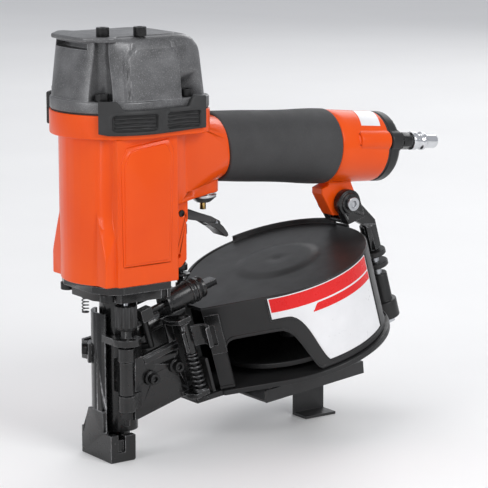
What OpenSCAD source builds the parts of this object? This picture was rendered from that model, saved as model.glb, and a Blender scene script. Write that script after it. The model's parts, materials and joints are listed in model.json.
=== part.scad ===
/* [Housing] */
// Radius of the cylinder housing round the drive axis
body_r = 34; // [30:0.5:38]
// Half width of the flat sides of the housing
body_side_y = 33.6; // [30:0.1:36]
// Height of the housing's bottom face above the work
body_bottom_z = 111; // [105:1:120]
// Length of the housing from its bottom face to its top flange
body_len = 87.5; // [75:0.5:105]
// Height of the top flange
band_h = 14; // [10:0.5:18]
// Radius of the front of the top flange
head_r = 39.5; // [37:0.5:44]
// Half width of the flat sides of the head
head_side_y = 38; // [36:0.5:42]
// Rear end of the head behind the drive axis
head_rear_x = 48; // [44:1:54]
// Corner radius at the rear of the head
head_corner_r = 14; // [8:1:18]
// Bore radius of the main air chamber
chamber_r = 30; // [28.5:0.5:31]

/* [Exhaust cap] */
// Height of the cap's bolting flange
cap_flange_h = 7; // [5:0.5:9]
// Height of the cap from the flange to the plate
cap_h = 33; // [26:1:40]
// Thickness of the exhaust plate on the cap
plate_t = 3.6; // [2.5:0.1:5]

/* [Drive] */
// Inner radius of the cylinder sleeve
sleeve_r = 24; // [20:0.5:25]
// Wall of the cylinder sleeve
sleeve_wall = 2.2; // [1.5:0.1:3]
// Stroke of the piston
drive_stroke = 62; // [40:1:66]
// Radius of the driver blade
blade_r = 3.2; // [2.4:0.1:4]
// Radial clearance of the blade in its channel
blade_gap = 0.4; // [0.3:0.05:0.8]

/* [Handle] */
// Outer radius of the grip where it leaves the elbow
grip_front_r = 21.3; // [18:0.1:24]
// Outer radius of the grip at its rear bulge
grip_rear_r = 23.8; // [20:0.1:26]
// Wall of the rubber grip
grip_wall = 3; // [2:0.1:4.5]
// Rear end of the grip along the handle
grip_end_s = 93; // [80:1:110]
// Length of the bare collar behind the grip
collar_len = 38; // [30:1:48]
// Thickness of the end cap
end_cap_t = 10; // [7:0.5:14]
// Angle at which the handle falls towards the rear
handle_droop = 5; // [0:0.5:8]

/* [Trigger] */
// Travel of the trigger in degrees
trigger_travel = 10; // [6:0.5:12]
// Radius of the trigger pin
trigger_pin_r = 2; // [1.5:0.1:2.5]

/* [Nose] */
// Thickness of the nose flange
flange_t = 10; // [8:0.5:13]
// Radius of the nose column
column_r = 11.4; // [10:0.1:12]
// Height of the nose tip above the work
tip_z = 9.5; // [9:0.5:14]
// Travel of the contact arm
arm_travel = 9; // [6:0.5:9]
// Width of the contact foot
foot_w = 34; // [30:1:40]
// Radius of the depth dial
dial_r = 6.8; // [5.5:0.1:7.2]
// Radius of the door's hinge pin
door_pin_r = 2.5; // [2:0.1:3]

/* [Magazine] */
// Outer radius of the nail drum
drum_r = 58; // [50:0.5:66]
// Height of the drum's wall
drum_h = 55; // [46:1:64]
// Wall of the drum
drum_wall = 2.4; // [1.8:0.1:3.2]
// Slope of the magazine, which is the slope of the nail coil
feed_tilt = 16; // [14:0.5:18]
// Radius of the drum's hinge pin
hinge_pin_r = 3; // [2:0.1:3.6]
// Travel of the nail tray along its post
tray_travel = 12; // [6:1:20]

/* [Shingle guide] */
// Length of the guide channel
channel_len = 78; // [60:1:90]
// Width of the guide channel
channel_w = 40; // [34:1:46]
// Thickness of the guide's sheet steel
sheet_t = 1.8; // [1.2:0.1:2.4]

/* [Fits] */
// Gap between pieces that move past each other
run_gap = 0.35; // [0.3:0.05:0.5]
// Radial clearance of a hinge pin in its knuckle
pin_fit = 0.06; // [0.02:0.01:0.09]

/* [Hidden] */
$fn = 64;
EPS = 0.01;

ORANGE = [0.93, 0.30, 0.05];
BLACK = [0.10, 0.10, 0.10];
CAST_GREY = [0.33, 0.33, 0.32];
GRIP_BLACK = [0.16, 0.16, 0.16];
STEEL = [0.72, 0.72, 0.74];
DARK_STEEL = [0.22, 0.22, 0.23];
BRASS = [0.75, 0.60, 0.30];
AMBER = [0.80, 0.55, 0.25];

// ---- Heights on the drive axis ----
band_bottom_z = body_bottom_z + body_len;
band_top_z = band_bottom_z + band_h;
gasket_t = 0.8;
cap_bottom_z = band_top_z + gasket_t;
cap_flange_top_z = cap_bottom_z + cap_flange_h;
cap_top_z = cap_flange_top_z + cap_h;
plate_top_z = cap_top_z + plate_t;
nose_gasket_t = 0.6;
flange_top_z = body_bottom_z - nose_gasket_t;
flange_bottom_z = flange_top_z - flange_t;
floor_t = 5;
bumper_h = 9;
bumper_bottom_z = body_bottom_z + floor_t;
piston_h = 12;
piston_low_z = bumper_bottom_z + bumper_h + 0.4;
piston_rest_z = piston_low_z + drive_stroke;
blade_low_z = tip_z + 1;
blade_rest_z = blade_low_z + drive_stroke;
sleeve_top_z = piston_rest_z + piston_h + 2;
valve_travel = 3;
channel_r = blade_r + blade_gap;

// ---- Small fasteners: [shank radius, head radius, head height, hex key size] ----
M4 = [2, 3.6, 3.6, 3];
M5 = [2.5, 4.3, 4.6, 4];
M6 = [3, 4.9, 5.6, 5];

// ---- Head ----
cap_bolt_pos = [[-24.6, -24.3], [-24.6, 24.3], [29, -31], [29, 31]];
cap_bolt_depth = 16;
plate_bolt_pos = [[-19, -17], [1, -25.5]];
cap_wall = 3.2;
cap_chamber_r = 26.2;
cap_front_x = -36;
cap_front_half = 19;
cap_side_y = 35.2;
cap_rear_x = 46;
cap_taper = 5;
cap_well_r = 6.4;
guard_t = 2.6;
guard_low = 10.5;
guard_high = 11;
guard_front_x = -24;
guard_rear_x = head_rear_x - head_corner_r;

// ---- Block and lugs behind the cylinder housing ----
block_bottom_z = 156;
lug_y = 10.5;
lug_t = 4.5;
lug_rear_x = 41;
lug_bottom_z = 116;
lug_pin = [36.6, 147];
pin_pocket_x = 32.3;
lug_low_hole = [34.2, 121];
valve_x = 62;
valve_r = 7;
valve_boss_r = 9.4;
valve_bottom_z = 149.5;

// ---- Handle ----
handle_x0 = 60;
grip_cut_s = 8;
grip_cut_angle = 12;
handle_z0 = 184.3;
handle_core_r = grip_front_r - grip_wall;
handle_bore_r = handle_core_r - 3.6;
elbow_s = 12;
collar_end_s = grip_end_s + collar_len;
collar_r = grip_rear_r - 0.5;
plug_offset_y = -15;
plug_up = 5.5;
plug_boss_r = 6.6;
plug_port_r = 5;
adapter_r = 5.6;
adapter_len = 9;
plug_len = 21;
end_screw_r_pos = 17;
hanger_lug_x = 167;
hanger_lug_z = 139.5;
hanger_lug_half = 5.6;
hanger_screw_r = 3;

// ---- Nose ----
flange_front_x = -28;
flange_rear_x = 21;
flange_half_y = 31;
flange_step = 4.5;
nose_bolt_pos = [[-21.5, -22.5], [-21.5, 22.5], [14.5, -24.5], [14.5, 24.5]];
column_tip_r = 6.6;
column_shoulder_z = tip_z + arm_travel - 2;
// The channel fits the blade closely up to here and has relief above
outlet_top_z = 24;
channel_relief = 0.4;
foot_plate_z = 6;
foot_front_x = -16.5;
foot_rear_x = 1;
arm_sheet_t = 2.2;
arm_top_z = 90;
pivot_x = -7;
pivot_y = -20;
tab_low_z = 73;
tab_t = 4.2;
dial_low_z = 82;
dial_h = 15;
stud_r = 2.4;
stop_r = 1.5;
depth_turns = 1.5;
depth_pitch = 0.8;
door_y = -16;
door_t = 3.6;
door_front_x = 1.4;
door_rear_u = 49.5;
door_top_w = 58.6;
door_low_w = 22.5;
door_screw_w = 43.7;
door_screw_u = [25.5, 44];
knuckle_r = 5;
knuckle_low = [32, 41.8];
knuckle_high = [63, 71];
lug_mid_r = 4.3;
track_y = 3.6;
track_t = 4;

// ---- Feed: u runs up the slope, w stands square to it ----
feed_axis_y = -14;
feed_axis_w = 82.5;
feed_u0 = 48;
feed_u1 = 74;
feed_bore_r = 4.4;
feed_wall = 2.4;
feed_travel = 9;
latch_u = 52;
latch_y = -25;
latch_pin_r = 2;
latch_low_w = 25;
latch_high_w = 75.5;

// ---- Magazine ----
drum_u = 141;
drum_y = -3;
drum_top_w = 70.7;
drum_bottom_w = drum_top_w - drum_h;
throat_u = 70;
throat_half = 15;
base_floor_t = 3.4;
base_floor_w = drum_bottom_w - run_gap - base_floor_t;
hinge_u = drum_u + drum_r + 13;
hinge_y = -6;
knuckle_out_r = 6;
cut_low_w = drum_bottom_w - 1;
cut_top_w = 47;
cut_rear_u = 112;
tray_r = drum_r - drum_wall - 6;
post_r = 5;

// ---- Shingle guide ----
channel_tilt = 6;
channel_x0 = 96;
channel_z0 = 21;
channel_h = 8;
guide_x0 = 138;
guide_len = 26;
guide_plate_y = 9;
guide_foot_y = -4;
guide_travel = 11;

// =====================================================================
// Helpers
// =====================================================================

// A flat piece drawn in the X-Z plane, from y0 to y1
module xz_plate(points, y0, y1) {
    translate([0, y1, 0]) rotate([90, 0, 0]) linear_extrude(y1 - y0) polygon(points);
}

// The magazine's sloping frame: X becomes u, Z becomes w
module tilted() { rotate([0, -feed_tilt, 0]) children(); }

// The handle's frame: Z runs rearward along the handle, -X is up
module along_handle(s = 0) {
    translate([handle_x0, 0, handle_z0])
        rotate([0, 90 + handle_droop, 0])
            translate([0, 0, s]) children();
}

// The guide channel's frame: X runs along the channel, Z stands square to it
module along_channel() {
    translate([channel_x0, 0, channel_z0]) rotate([0, -channel_tilt, 0]) children();
}

// A socket-head screw that stands on z = 0 with its shank pointing down
module socket_screw(size, shank) {
    difference() {
        union() {
            cylinder(r = size[1], h = size[2]);
            translate([0, 0, -shank]) cylinder(r = size[0], h = shank + EPS);
        }
        translate([0, 0, size[2] * 0.45]) cylinder(d = size[3] * 1.15, h = size[2], $fn = 6);
    }
}

// A ring with a bore
module ring(outer, inner, h) {
    difference() {
        cylinder(r = outer, h = h);
        translate([0, 0, -1]) cylinder(r = inner, h = h + 2);
    }
}

// A coil spring drawn as its outer tube with grooves between the turns
module coil(r, wire, h, turns) {
    pitch = h / turns;
    difference() {
        cylinder(r = r, h = h);
        translate([0, 0, -1]) cylinder(r = r - wire, h = h + 2);
        for (i = [0 : turns - 1])
            translate([0, 0, (i + 0.75) * pitch])
                rotate_extrude() translate([r - wire * 0.4, -pitch * 0.18]) square([wire, pitch * 0.36]);
    }
}

// Outline of the head in plan: a round front, flat sides and rounded rear corners
module head_outline(d = 0) {
    circle(r = head_r + d);
    translate([0, -head_side_y - d])
        square([head_rear_x - head_corner_r, 2 * (head_side_y + d)]);
    translate([0, -head_side_y + head_corner_r])
        square([head_rear_x + d, 2 * (head_side_y - head_corner_r)]);
    for (side = [-1, 1])
        translate([head_rear_x - head_corner_r, side * (head_side_y - head_corner_r)])
            circle(r = head_corner_r + d);
}

// Outline of the cap above its flange
module cap_outline(inset) {
    polygon([
        [cap_front_x + inset, -cap_front_half], [-18, -cap_side_y + inset],
        [cap_rear_x - 16, -cap_side_y + inset], [cap_rear_x - inset * 0.5, -cap_side_y + 16],
        [cap_rear_x - inset * 0.5, cap_side_y - 16], [cap_rear_x - 16, cap_side_y - inset],
        [-18, cap_side_y - inset], [cap_front_x + inset, cap_front_half]
    ]);
}

// Plan of the drum in the sloping frame, grown by d
module drum_outline(d = 0) {
    translate([drum_u, drum_y]) circle(r = drum_r + d);
    tangent = 48;
    tangent_u = drum_u - (drum_r + d) * cos(tangent);
    tangent_y = (drum_r + d) * sin(tangent);
    polygon([
        [throat_u, drum_y - throat_half - d], [tangent_u, drum_y - tangent_y],
        [drum_u, drum_y], [tangent_u, drum_y + tangent_y],
        [throat_u, drum_y + throat_half + d]
    ]);
}

// =====================================================================
// Housing
// =====================================================================

module housing_outside() {
    translate([0, 0, body_bottom_z]) cylinder(r = body_r, h = body_len + EPS);
    // flat sides
    translate([-20, -body_side_y, body_bottom_z]) cube([42, 2 * body_side_y, body_len + EPS]);
    // squared foot, rounded off upwards
    intersection() {
        translate([flange_front_x + 1, -flange_half_y + 0.6, body_bottom_z])
            cube([flange_rear_x - flange_front_x - 1, 2 * flange_half_y - 1.2, 46]);
        translate([0, 0, body_bottom_z]) cylinder(r1 = 44, r2 = body_r - 1, h = 46);
    }
    // raised side panels
    for (side = [-1, 1])
        mirror([0, side < 0 ? 0 : 1, 0])
            xz_plate([
                [-17, body_bottom_z + 12], [16, body_bottom_z + 12], [18, band_bottom_z - 8],
                [15, band_bottom_z - 2], [-14, band_bottom_z - 5], [-18, band_bottom_z - 14]
            ], -body_side_y - 1, -body_side_y + 1);
    // top flange
    translate([0, 0, band_bottom_z]) linear_extrude(band_h) head_outline();
    // block behind the cylinder, down to the trigger valve
    translate([0, 0, block_bottom_z]) linear_extrude(band_bottom_z - block_bottom_z + EPS)
        polygon([
            [14, -31], [27, -29], [44, -19], [valve_x, -valve_boss_r],
            [valve_x, valve_boss_r], [44, 19], [27, 29], [14, 31]
        ]);
    translate([valve_x, 0, block_bottom_z]) cylinder(r = valve_boss_r, h = 20);
    // elbow that carries the handle
    hull() {
        translate([30, -26, 162]) cube([4, 52, 42]);
        along_handle(elbow_s) translate([0, 0, -4]) cylinder(r = handle_core_r + 1.6, h = 4, $fn = 32);
    }
}

module handle_outside() {
    along_handle(-4) cylinder(r = handle_core_r, h = grip_end_s + 5);
    along_handle(grip_end_s) cylinder(r1 = collar_r, r2 = collar_r - 0.8, h = collar_len);
    // boss for the air plug on the side of the collar
    along_handle(grip_end_s + 14) translate([-plug_up, plug_offset_y - 3, 0])
        cylinder(r = plug_boss_r, h = collar_len - 14);
    // lug for the magazine hanger under the collar
    xz_plate([
        [155, 160], [155, 151.5], [149.5, 149.5], [149.5, 146], [158, 131.5], [170, 130.5], [176, 136], [176, 145], [170, 158]
    ], -hanger_lug_half, hanger_lug_half);
}

module trigger_lugs() {
    for (side = [-1, 1])
        mirror([0, side < 0 ? 0 : 1, 0])
            xz_plate([
                [20, lug_bottom_z - 3], [36, lug_bottom_z - 2], [40, lug_bottom_z + 2], [40, 141],
                [lug_rear_x, 142], [lug_rear_x, block_bottom_z + 1], [20, block_bottom_z + 1]
            ], -lug_y - lug_t, -lug_y);
}

// Half space behind the slanted joint between the elbow and the grip, or in front of it
module grip_side(behind) {
    along_handle(grip_cut_s) rotate([0, -grip_cut_angle, 0])
        translate([-60, -60, behind ? 0 : -60]) cube([120, 120, 60]);
}

module body_housing() {
    color(ORANGE) difference() {
        union() {
            difference() {
                housing_outside();
                grip_side(true);
            }
            handle_outside();
            trigger_lugs();
        }
        // main air chamber, open at the top
        translate([0, 0, bumper_bottom_z]) cylinder(r = chamber_r, h = 120);
        // blade passage in the floor
        translate([0, 0, body_bottom_z - 1]) cylinder(r = blade_r + 3, h = floor_t + 2);
        // handle air chamber
        along_handle(-36) cylinder(r = handle_bore_r, h = collar_end_s + 37);
        // trigger valve bore
        translate([valve_x, 0, block_bottom_z - 1]) cylinder(r = valve_r + EPS, h = 26);
        // space for the trigger between the lugs
        translate([body_r + 0.2, -lug_y, lug_bottom_z - 4])
            cube([10, 2 * lug_y, block_bottom_z - lug_bottom_z + 4]);
        translate([pin_pocket_x, -lug_y, lug_pin[1] - 8]) cube([10, 2 * lug_y, 14]);
        // trigger pin and lower lug hole
        translate([lug_pin[0], 40, lug_pin[1]]) rotate([90, 0, 0]) cylinder(r = trigger_pin_r, h = 80);
        for (side = [-1, 1])
            translate([lug_low_hole[0], side * (lug_y + lug_t / 2), lug_low_hole[1]])
                rotate([90, 0, 0]) cylinder(r = 1.2, h = lug_t + 2, center = true);
        // magazine hanger pivot
        translate([hanger_lug_x, 20, hanger_lug_z]) rotate([90, 0, 0])
            cylinder(r = hanger_screw_r + pin_fit, h = 40);
        // cap bolt threads
        for (p = cap_bolt_pos)
            translate([p[0], p[1], band_top_z - cap_bolt_depth + 2]) cylinder(r = M5[0], h = 40);
        // nose bolt threads
        for (p = nose_bolt_pos)
            translate([p[0], p[1], body_bottom_z - 1]) cylinder(r = M5[0], h = floor_t + 0.6);
        // end cap screw threads
        for (a = [90, 210, 330])
            along_handle(collar_end_s - 11) rotate([0, 0, a]) translate([end_screw_r_pos, 0, 0])
                cylinder(r = M4[0], h = 12);
    }
}

module guard(side) {
    color(BLACK) mirror([0, side < 0 ? 0 : 1, 0]) difference() {
        translate([0, 0, band_top_z - guard_low]) linear_extrude(guard_low + guard_high)
            intersection() {
                difference() { head_outline(guard_t); head_outline(0.15); }
                translate([guard_front_x, -60]) square([guard_rear_x - guard_front_x, 50]);
            }
        // low middle, high ends
        translate([-15, -60, band_top_z + 5.5]) cube([40, 50, 20]);
        // ribbed windows
        for (x = [-9, 17]) for (i = [0 : 3])
            translate([x - 9.5, -60, band_top_z - 8 + i * 3.1]) cube([x < 0 ? 21 : 15, 60 - head_side_y - guard_t + 0.9, 1.6]);
    }
}

module guard_left() { guard(-1); }
module guard_right() { guard(1); }

// =====================================================================
// Exhaust cap
// =====================================================================

module exhaust_cap() {
    color(CAST_GREY) difference() {
        union() {
            translate([0, 0, cap_bottom_z]) linear_extrude(cap_flange_h) head_outline(-0.4);
            hull() {
                translate([0, 0, cap_flange_top_z - 1]) linear_extrude(1) cap_outline(0);
                translate([0, 0, cap_top_z - 1]) linear_extrude(1) cap_outline(cap_taper);
            }
        }
        // head valve chamber and exhaust space
        translate([0, 0, cap_bottom_z - 1]) cylinder(r = cap_chamber_r, h = 25);
        translate([-23, -14, cap_bottom_z + 23]) cube([60, 28, cap_top_z - cap_bottom_z - 23 - cap_wall]);
        // exhaust slot in the front face, below the plate's lip
        translate([cap_front_x - 2, -14, cap_top_z - 8]) cube([20, 28, 3.4]);
        // bolt wells at the corners
        for (p = cap_bolt_pos) {
            translate([p[0], p[1], cap_flange_top_z]) cylinder(r = cap_well_r, h = 40);
            translate([p[0], p[1], cap_bottom_z - 1]) cylinder(r = M5[0] + 0.3, h = 20);
        }
        for (p = plate_bolt_pos) translate([p[0], p[1], cap_top_z - 10]) cylinder(r = M4[0], h = 12);
    }
}

module exhaust_plate() {
    color(CAST_GREY) difference() {
        union() {
            translate([0, 0, cap_top_z + EPS]) linear_extrude(plate_t) polygon([
                [cap_front_x + cap_taper - 2.5, -17], [-22, -29.5], [24, -29.5], [34, -22],
                [34, 22], [24, 29.5], [-22, 29.5], [cap_front_x + cap_taper - 2.5, 17]
            ]);
        }
        for (p = plate_bolt_pos) translate([p[0], p[1], cap_top_z - 1]) cylinder(r = M4[0] + 0.2, h = 10);
    }
}

module cap_gasket() {
    color(BLACK) difference() {
        translate([0, 0, band_top_z]) linear_extrude(gasket_t) head_outline(-1);
        translate([0, 0, band_top_z - 1]) cylinder(r = chamber_r + 0.6, h = 4);
        for (p = cap_bolt_pos) translate([p[0], p[1], band_top_z - 1]) cylinder(r = M5[0] + 0.3, h = 4);
    }
}

module cap_bolts() {
    color(BLACK) for (p = cap_bolt_pos)
        translate([p[0], p[1], cap_flange_top_z])
            socket_screw(M5, cap_flange_h + gasket_t + cap_bolt_depth - 3);
}

module plate_bolts() {
    color(BLACK) for (p = plate_bolt_pos)
        translate([p[0], p[1], plate_top_z + EPS]) socket_screw([M4[0], 3.9, 5.4, 3], plate_t + 8);
}

// =====================================================================
// Cylinder, head valve and driver
// =====================================================================

sleeve_out_r = sleeve_r + sleeve_wall;

module cylinder_sleeve() {
    color(STEEL) difference() {
        union() {
            translate([0, 0, bumper_bottom_z]) cylinder(r = sleeve_out_r, h = sleeve_top_z - bumper_bottom_z);
            // collar that carries the middle seal
            translate([0, 0, piston_low_z + 22]) cylinder(r = chamber_r - 1, h = 5);
        }
        translate([0, 0, bumper_bottom_z - 1]) cylinder(r = sleeve_r, h = sleeve_top_z);
        // return air ports
        for (a = [0 : 45 : 315])
            rotate([0, 0, a]) translate([0, 0, piston_low_z + 16])
                rotate([0, 90, 0]) cylinder(r = 1.2, h = sleeve_out_r + 5);
    }
}

module sleeve_seals() {
    color(BLACK) for (z = [bumper_bottom_z + 2, piston_low_z + 27.1])
        translate([0, 0, z]) ring(chamber_r - 0.02, sleeve_out_r + 0.02, 3);
}

module piston_bumper() {
    color(AMBER) difference() {
        translate([0, 0, bumper_bottom_z]) cylinder(r = sleeve_r - 0.3, h = bumper_h);
        translate([0, 0, bumper_bottom_z - 1]) cylinder(r = blade_r + 1.2, h = bumper_h + 2);
        translate([0, 0, bumper_bottom_z + bumper_h / 2]) rotate_extrude()
            translate([sleeve_r, 0]) circle(r = 2.4);
    }
}

head_valve_r = cap_chamber_r - run_gap;
head_valve_z = sleeve_top_z + 0.2;
head_valve_h = cap_bottom_z + 13 - head_valve_z;

module head_valve() {
    color(BLACK) difference() {
        union() {
            translate([0, 0, head_valve_z]) cylinder(r = head_valve_r, h = head_valve_h);
        }
        translate([0, 0, head_valve_z - 1]) cylinder(r = sleeve_r - 8, h = 8);
        translate([0, 0, head_valve_z + 6]) cylinder(r = head_valve_r - 8, h = head_valve_h);
    }
}

module head_valve_spring() {
    spring_low_z = head_valve_z + head_valve_h + 0.1;
    color(STEEL) translate([0, 0, spring_low_z])
        coil(head_valve_r - 2, 2, cap_bottom_z + 24 - spring_low_z - 0.1, 4);
}

module driver_piston() {
    color(STEEL) difference() {
        translate([0, 0, piston_rest_z]) cylinder(r = sleeve_r - run_gap, h = piston_h);
        translate([0, 0, piston_rest_z + 4]) difference() {
            cylinder(r = sleeve_r + 2, h = 3);
            translate([0, 0, -1]) cylinder(r = sleeve_r - 2.8, h = 5);
        }
        translate([0, 0, piston_rest_z + 6]) cylinder(r = sleeve_r - 9, h = piston_h);
        translate([0, 0, piston_rest_z - 1]) cylinder(r = blade_r, h = 5);
    }
}

module piston_ring() {
    color(BLACK) translate([0, 0, piston_rest_z + 4.1]) ring(sleeve_r - 0.06, sleeve_r - 2.78, 2.8);
}

module driver_blade() {
    color(STEEL) translate([0, 0, blade_rest_z]) cylinder(r = blade_r, h = piston_rest_z - blade_rest_z + 4);
}

// =====================================================================
// Handle
// =====================================================================

module handle_grip() {
    color(GRIP_BLACK) difference() {
        along_handle(0) rotate_extrude() polygon([
            [handle_core_r, 0], [grip_front_r, 0], [grip_front_r + 0.8, 30], [grip_rear_r - 1.2, 62],
            [grip_rear_r, 80], [grip_rear_r, grip_end_s - 1.6], [grip_rear_r - 1.2, grip_end_s],
            [handle_core_r, grip_end_s]
        ]);
        // slanted front edge that follows the elbow
        grip_side(false);
    }
}

module handle_end_cap() {
    color(BLACK) difference() {
        union() {
            along_handle(collar_end_s + 1.2) rotate_extrude() polygon([
                [0, 0], [collar_r - 0.8, 0], [collar_r - 0.8, end_cap_t - 4],
                [collar_r - 3.2, end_cap_t - 1], [0, end_cap_t - 1]
            ]);
            along_handle(collar_end_s + 1.2) translate([-plug_up, plug_offset_y - 3, 0])
                cylinder(r = plug_boss_r, h = end_cap_t - 2);
        }
        along_handle(collar_end_s) translate([-plug_up, plug_offset_y - 3, 0])
            cylinder(r = plug_port_r, h = end_cap_t + 3);
        for (a = [90, 210, 330])
            along_handle(collar_end_s - 1) rotate([0, 0, a]) translate([end_screw_r_pos, 0, 0]) {
                cylinder(r = M4[0] + 0.2, h = 20);
                translate([0, 0, end_cap_t - 2.4]) cylinder(r = M4[1] + 0.4, h = 20);
            }
        along_handle(collar_end_s) cylinder(r = handle_bore_r - 2, h = 5);
    }
}

module end_cap_seal() {
    color(BLACK) difference() {
        along_handle(collar_end_s) cylinder(r = collar_r - 1.2, h = 1.2);
        along_handle(collar_end_s - 1) cylinder(r = handle_bore_r - 1, h = 4);
        for (a = [90, 210, 330])
            along_handle(collar_end_s - 1) rotate([0, 0, a]) translate([end_screw_r_pos, 0, 0])
                cylinder(r = M4[0] + 0.2, h = 4);
        along_handle(collar_end_s - 1) translate([-plug_up, plug_offset_y - 3, 0])
            cylinder(r = plug_port_r, h = 4);
    }
}

module end_cap_screws() {
    color(DARK_STEEL) for (a = [90, 210, 330])
        along_handle(collar_end_s + end_cap_t - 3.4) rotate([0, 0, a])
            translate([end_screw_r_pos, 0, 0]) socket_screw(M4, 16);
}

plug_s = collar_end_s + end_cap_t + 0.2;

module plug_adapter() {
    color(DARK_STEEL) along_handle(plug_s) translate([-plug_up, plug_offset_y - 3, 0]) {
        translate([0, 0, -9]) cylinder(r = plug_port_r, h = 10);
        translate([0, 0, EPS]) cylinder(r = adapter_r, h = adapter_len - 1, $fn = 6);
        cylinder(r = adapter_r - 1, h = adapter_len);
    }
}

module air_plug() {
    color(STEEL) along_handle(plug_s + adapter_len) translate([-plug_up, plug_offset_y - 3, 0])
        difference() {
            rotate_extrude() polygon([
                [0, 0], [5.9, 0], [5.9, 4], [4.4, 5], [4.4, 7.6], [5.9, 8.6], [5.9, 10.4], [4.6, 12],
                [4.6, plug_len - 1], [3.8, plug_len], [0, plug_len]
            ]);
            translate([0, 0, 2]) cylinder(r = 2.6, h = plug_len);
        }
}

// =====================================================================
// Trigger and its valve
// =====================================================================

trip_x = 68;
trip_z = 137;
trip_pin_r = 1.1;
rod_x = 45;
rod_r = 2;
cheek_in = 3.9;
cheek_out = 6.4;

module trigger() {
    color(BLACK) difference() {
        union() {
            // hub round the trigger pin
            translate([lug_pin[0], lug_y - 0.4, lug_pin[1]]) rotate([90, 0, 0])
                cylinder(r = 4, h = 2 * lug_y - 0.8);
            // two cheeks
            for (side = [-1, 1])
                mirror([0, side < 0 ? 0 : 1, 0])
                    xz_plate([
                        [lug_pin[0], 143.2], [44, 141.6], [53, 139.6], [60, 137.6], [66, 133.8], [72, 132],
                        [70.5, 137.6], [64, 141.2], [52, 145.4], [lug_pin[0], 150.8]
                    ], -cheek_out, -cheek_in);
            // floor of the channel and the finger lever
            xz_plate([
                [52, 139.8], [60, 137.8], [63.5, 136.2], [67.3, 133.2], [71, 130.4], [74, 127.6], [75.6, 127],
                [76.8, 128], [76.4, 129.6], [73, 134], [70.4, 136.2], [66, 135.6], [60, 139.6], [52, 141.4]
            ], -cheek_out, cheek_out);
        }
        translate([lug_pin[0], 20, lug_pin[1]]) rotate([90, 0, 0])
            cylinder(r = trigger_pin_r + pin_fit, h = 40);
        // room for the front of the trip lever and the arm rod between the cheeks
        translate([lug_pin[0] + 3.6, -cheek_in, 130]) cube([15.4, 2 * cheek_in, 30]);
        translate([trip_x, 20, trip_z]) rotate([90, 0, 0]) cylinder(r = trip_pin_r, h = 40);
        translate([trip_x - 3, -cheek_in, trip_z - 2.6]) cube([8, 2 * cheek_in, 10]);
    }
}

module trigger_pin() {
    color(DARK_STEEL) translate([lug_pin[0], lug_y + lug_t, lug_pin[1]]) rotate([90, 0, 0])
        cylinder(r = trigger_pin_r, h = 2 * (lug_y + lug_t));
}

module trip_lever() {
    color(DARK_STEEL) difference() {
        union() {
            xz_plate([
                [42.4, 143.8], [53, 142.4], [60, 140.4], [trip_x, trip_z - 1.9], [trip_x + 1, trip_z + 1.9],
                [61, 142.4], [53, 144.6], [42.4, 145.9]
            ], -cheek_in + run_gap, cheek_in - run_gap);
            translate([trip_x, cheek_in - run_gap, trip_z]) rotate([90, 0, 0])
                cylinder(r = 2.1, h = 2 * (cheek_in - run_gap));
        }
        translate([trip_x, 20, trip_z]) rotate([90, 0, 0]) cylinder(r = trip_pin_r + pin_fit, h = 40);
    }
}

module trip_pin() {
    color(STEEL) translate([trip_x, cheek_out, trip_z]) rotate([90, 0, 0])
        cylinder(r = trip_pin_r, h = 2 * cheek_out);
}

valve_cavity_r = 4.6;
plunger_r = 1.9;
plunger_low_z = 145;

module valve_body() {
    color(STEEL) difference() {
        union() {
            translate([valve_x, 0, valve_bottom_z]) rotate_extrude() polygon([
                [0, 0], [4.4, 0], [6.6, 1.8], [valve_boss_r - 1, 3.4], [valve_boss_r - 1, 5.2],
                [valve_r, 5.2], [valve_r, 28], [0, 28]
            ]);
        }
        translate([valve_x, 0, valve_bottom_z - 1]) cylinder(r = plunger_r + pin_fit, h = 40);
        translate([valve_x, 0, valve_bottom_z + 4]) cylinder(r = valve_cavity_r, h = 21);
    }
}

module valve_plunger() {
    color(BRASS) translate([valve_x, 0, 0]) {
        translate([0, 0, plunger_low_z]) cylinder(r = plunger_r, h = 31 + valve_bottom_z - plunger_low_z - 6);
        translate([0, 0, valve_bottom_z + 4.4]) cylinder(r = valve_cavity_r - 0.3, h = 3.4);
    }
}

module valve_spring() {
    color(STEEL) translate([valve_x, 0, valve_bottom_z + 7.9])
        coil(valve_cavity_r - 0.4, 1, 16.9, 7);
}

module rod_guide() {
    color(BLACK) difference() {
        union() {
            translate([body_r + 0.3, -lug_y + EPS, 131.4]) cube([4.2, 2 * lug_y - 2 * EPS, 6]);
            translate([body_r + 4, -3, 131.4]) cube([7, 6, 6]);
            translate([rod_x, 0, 131.4]) cylinder(r = 4.4, h = 6);
        }
        translate([rod_x, 0, 130]) cylinder(r = rod_r + run_gap, h = 20);
    }
}

// =====================================================================
// Nose and contact arm
// =====================================================================

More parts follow.
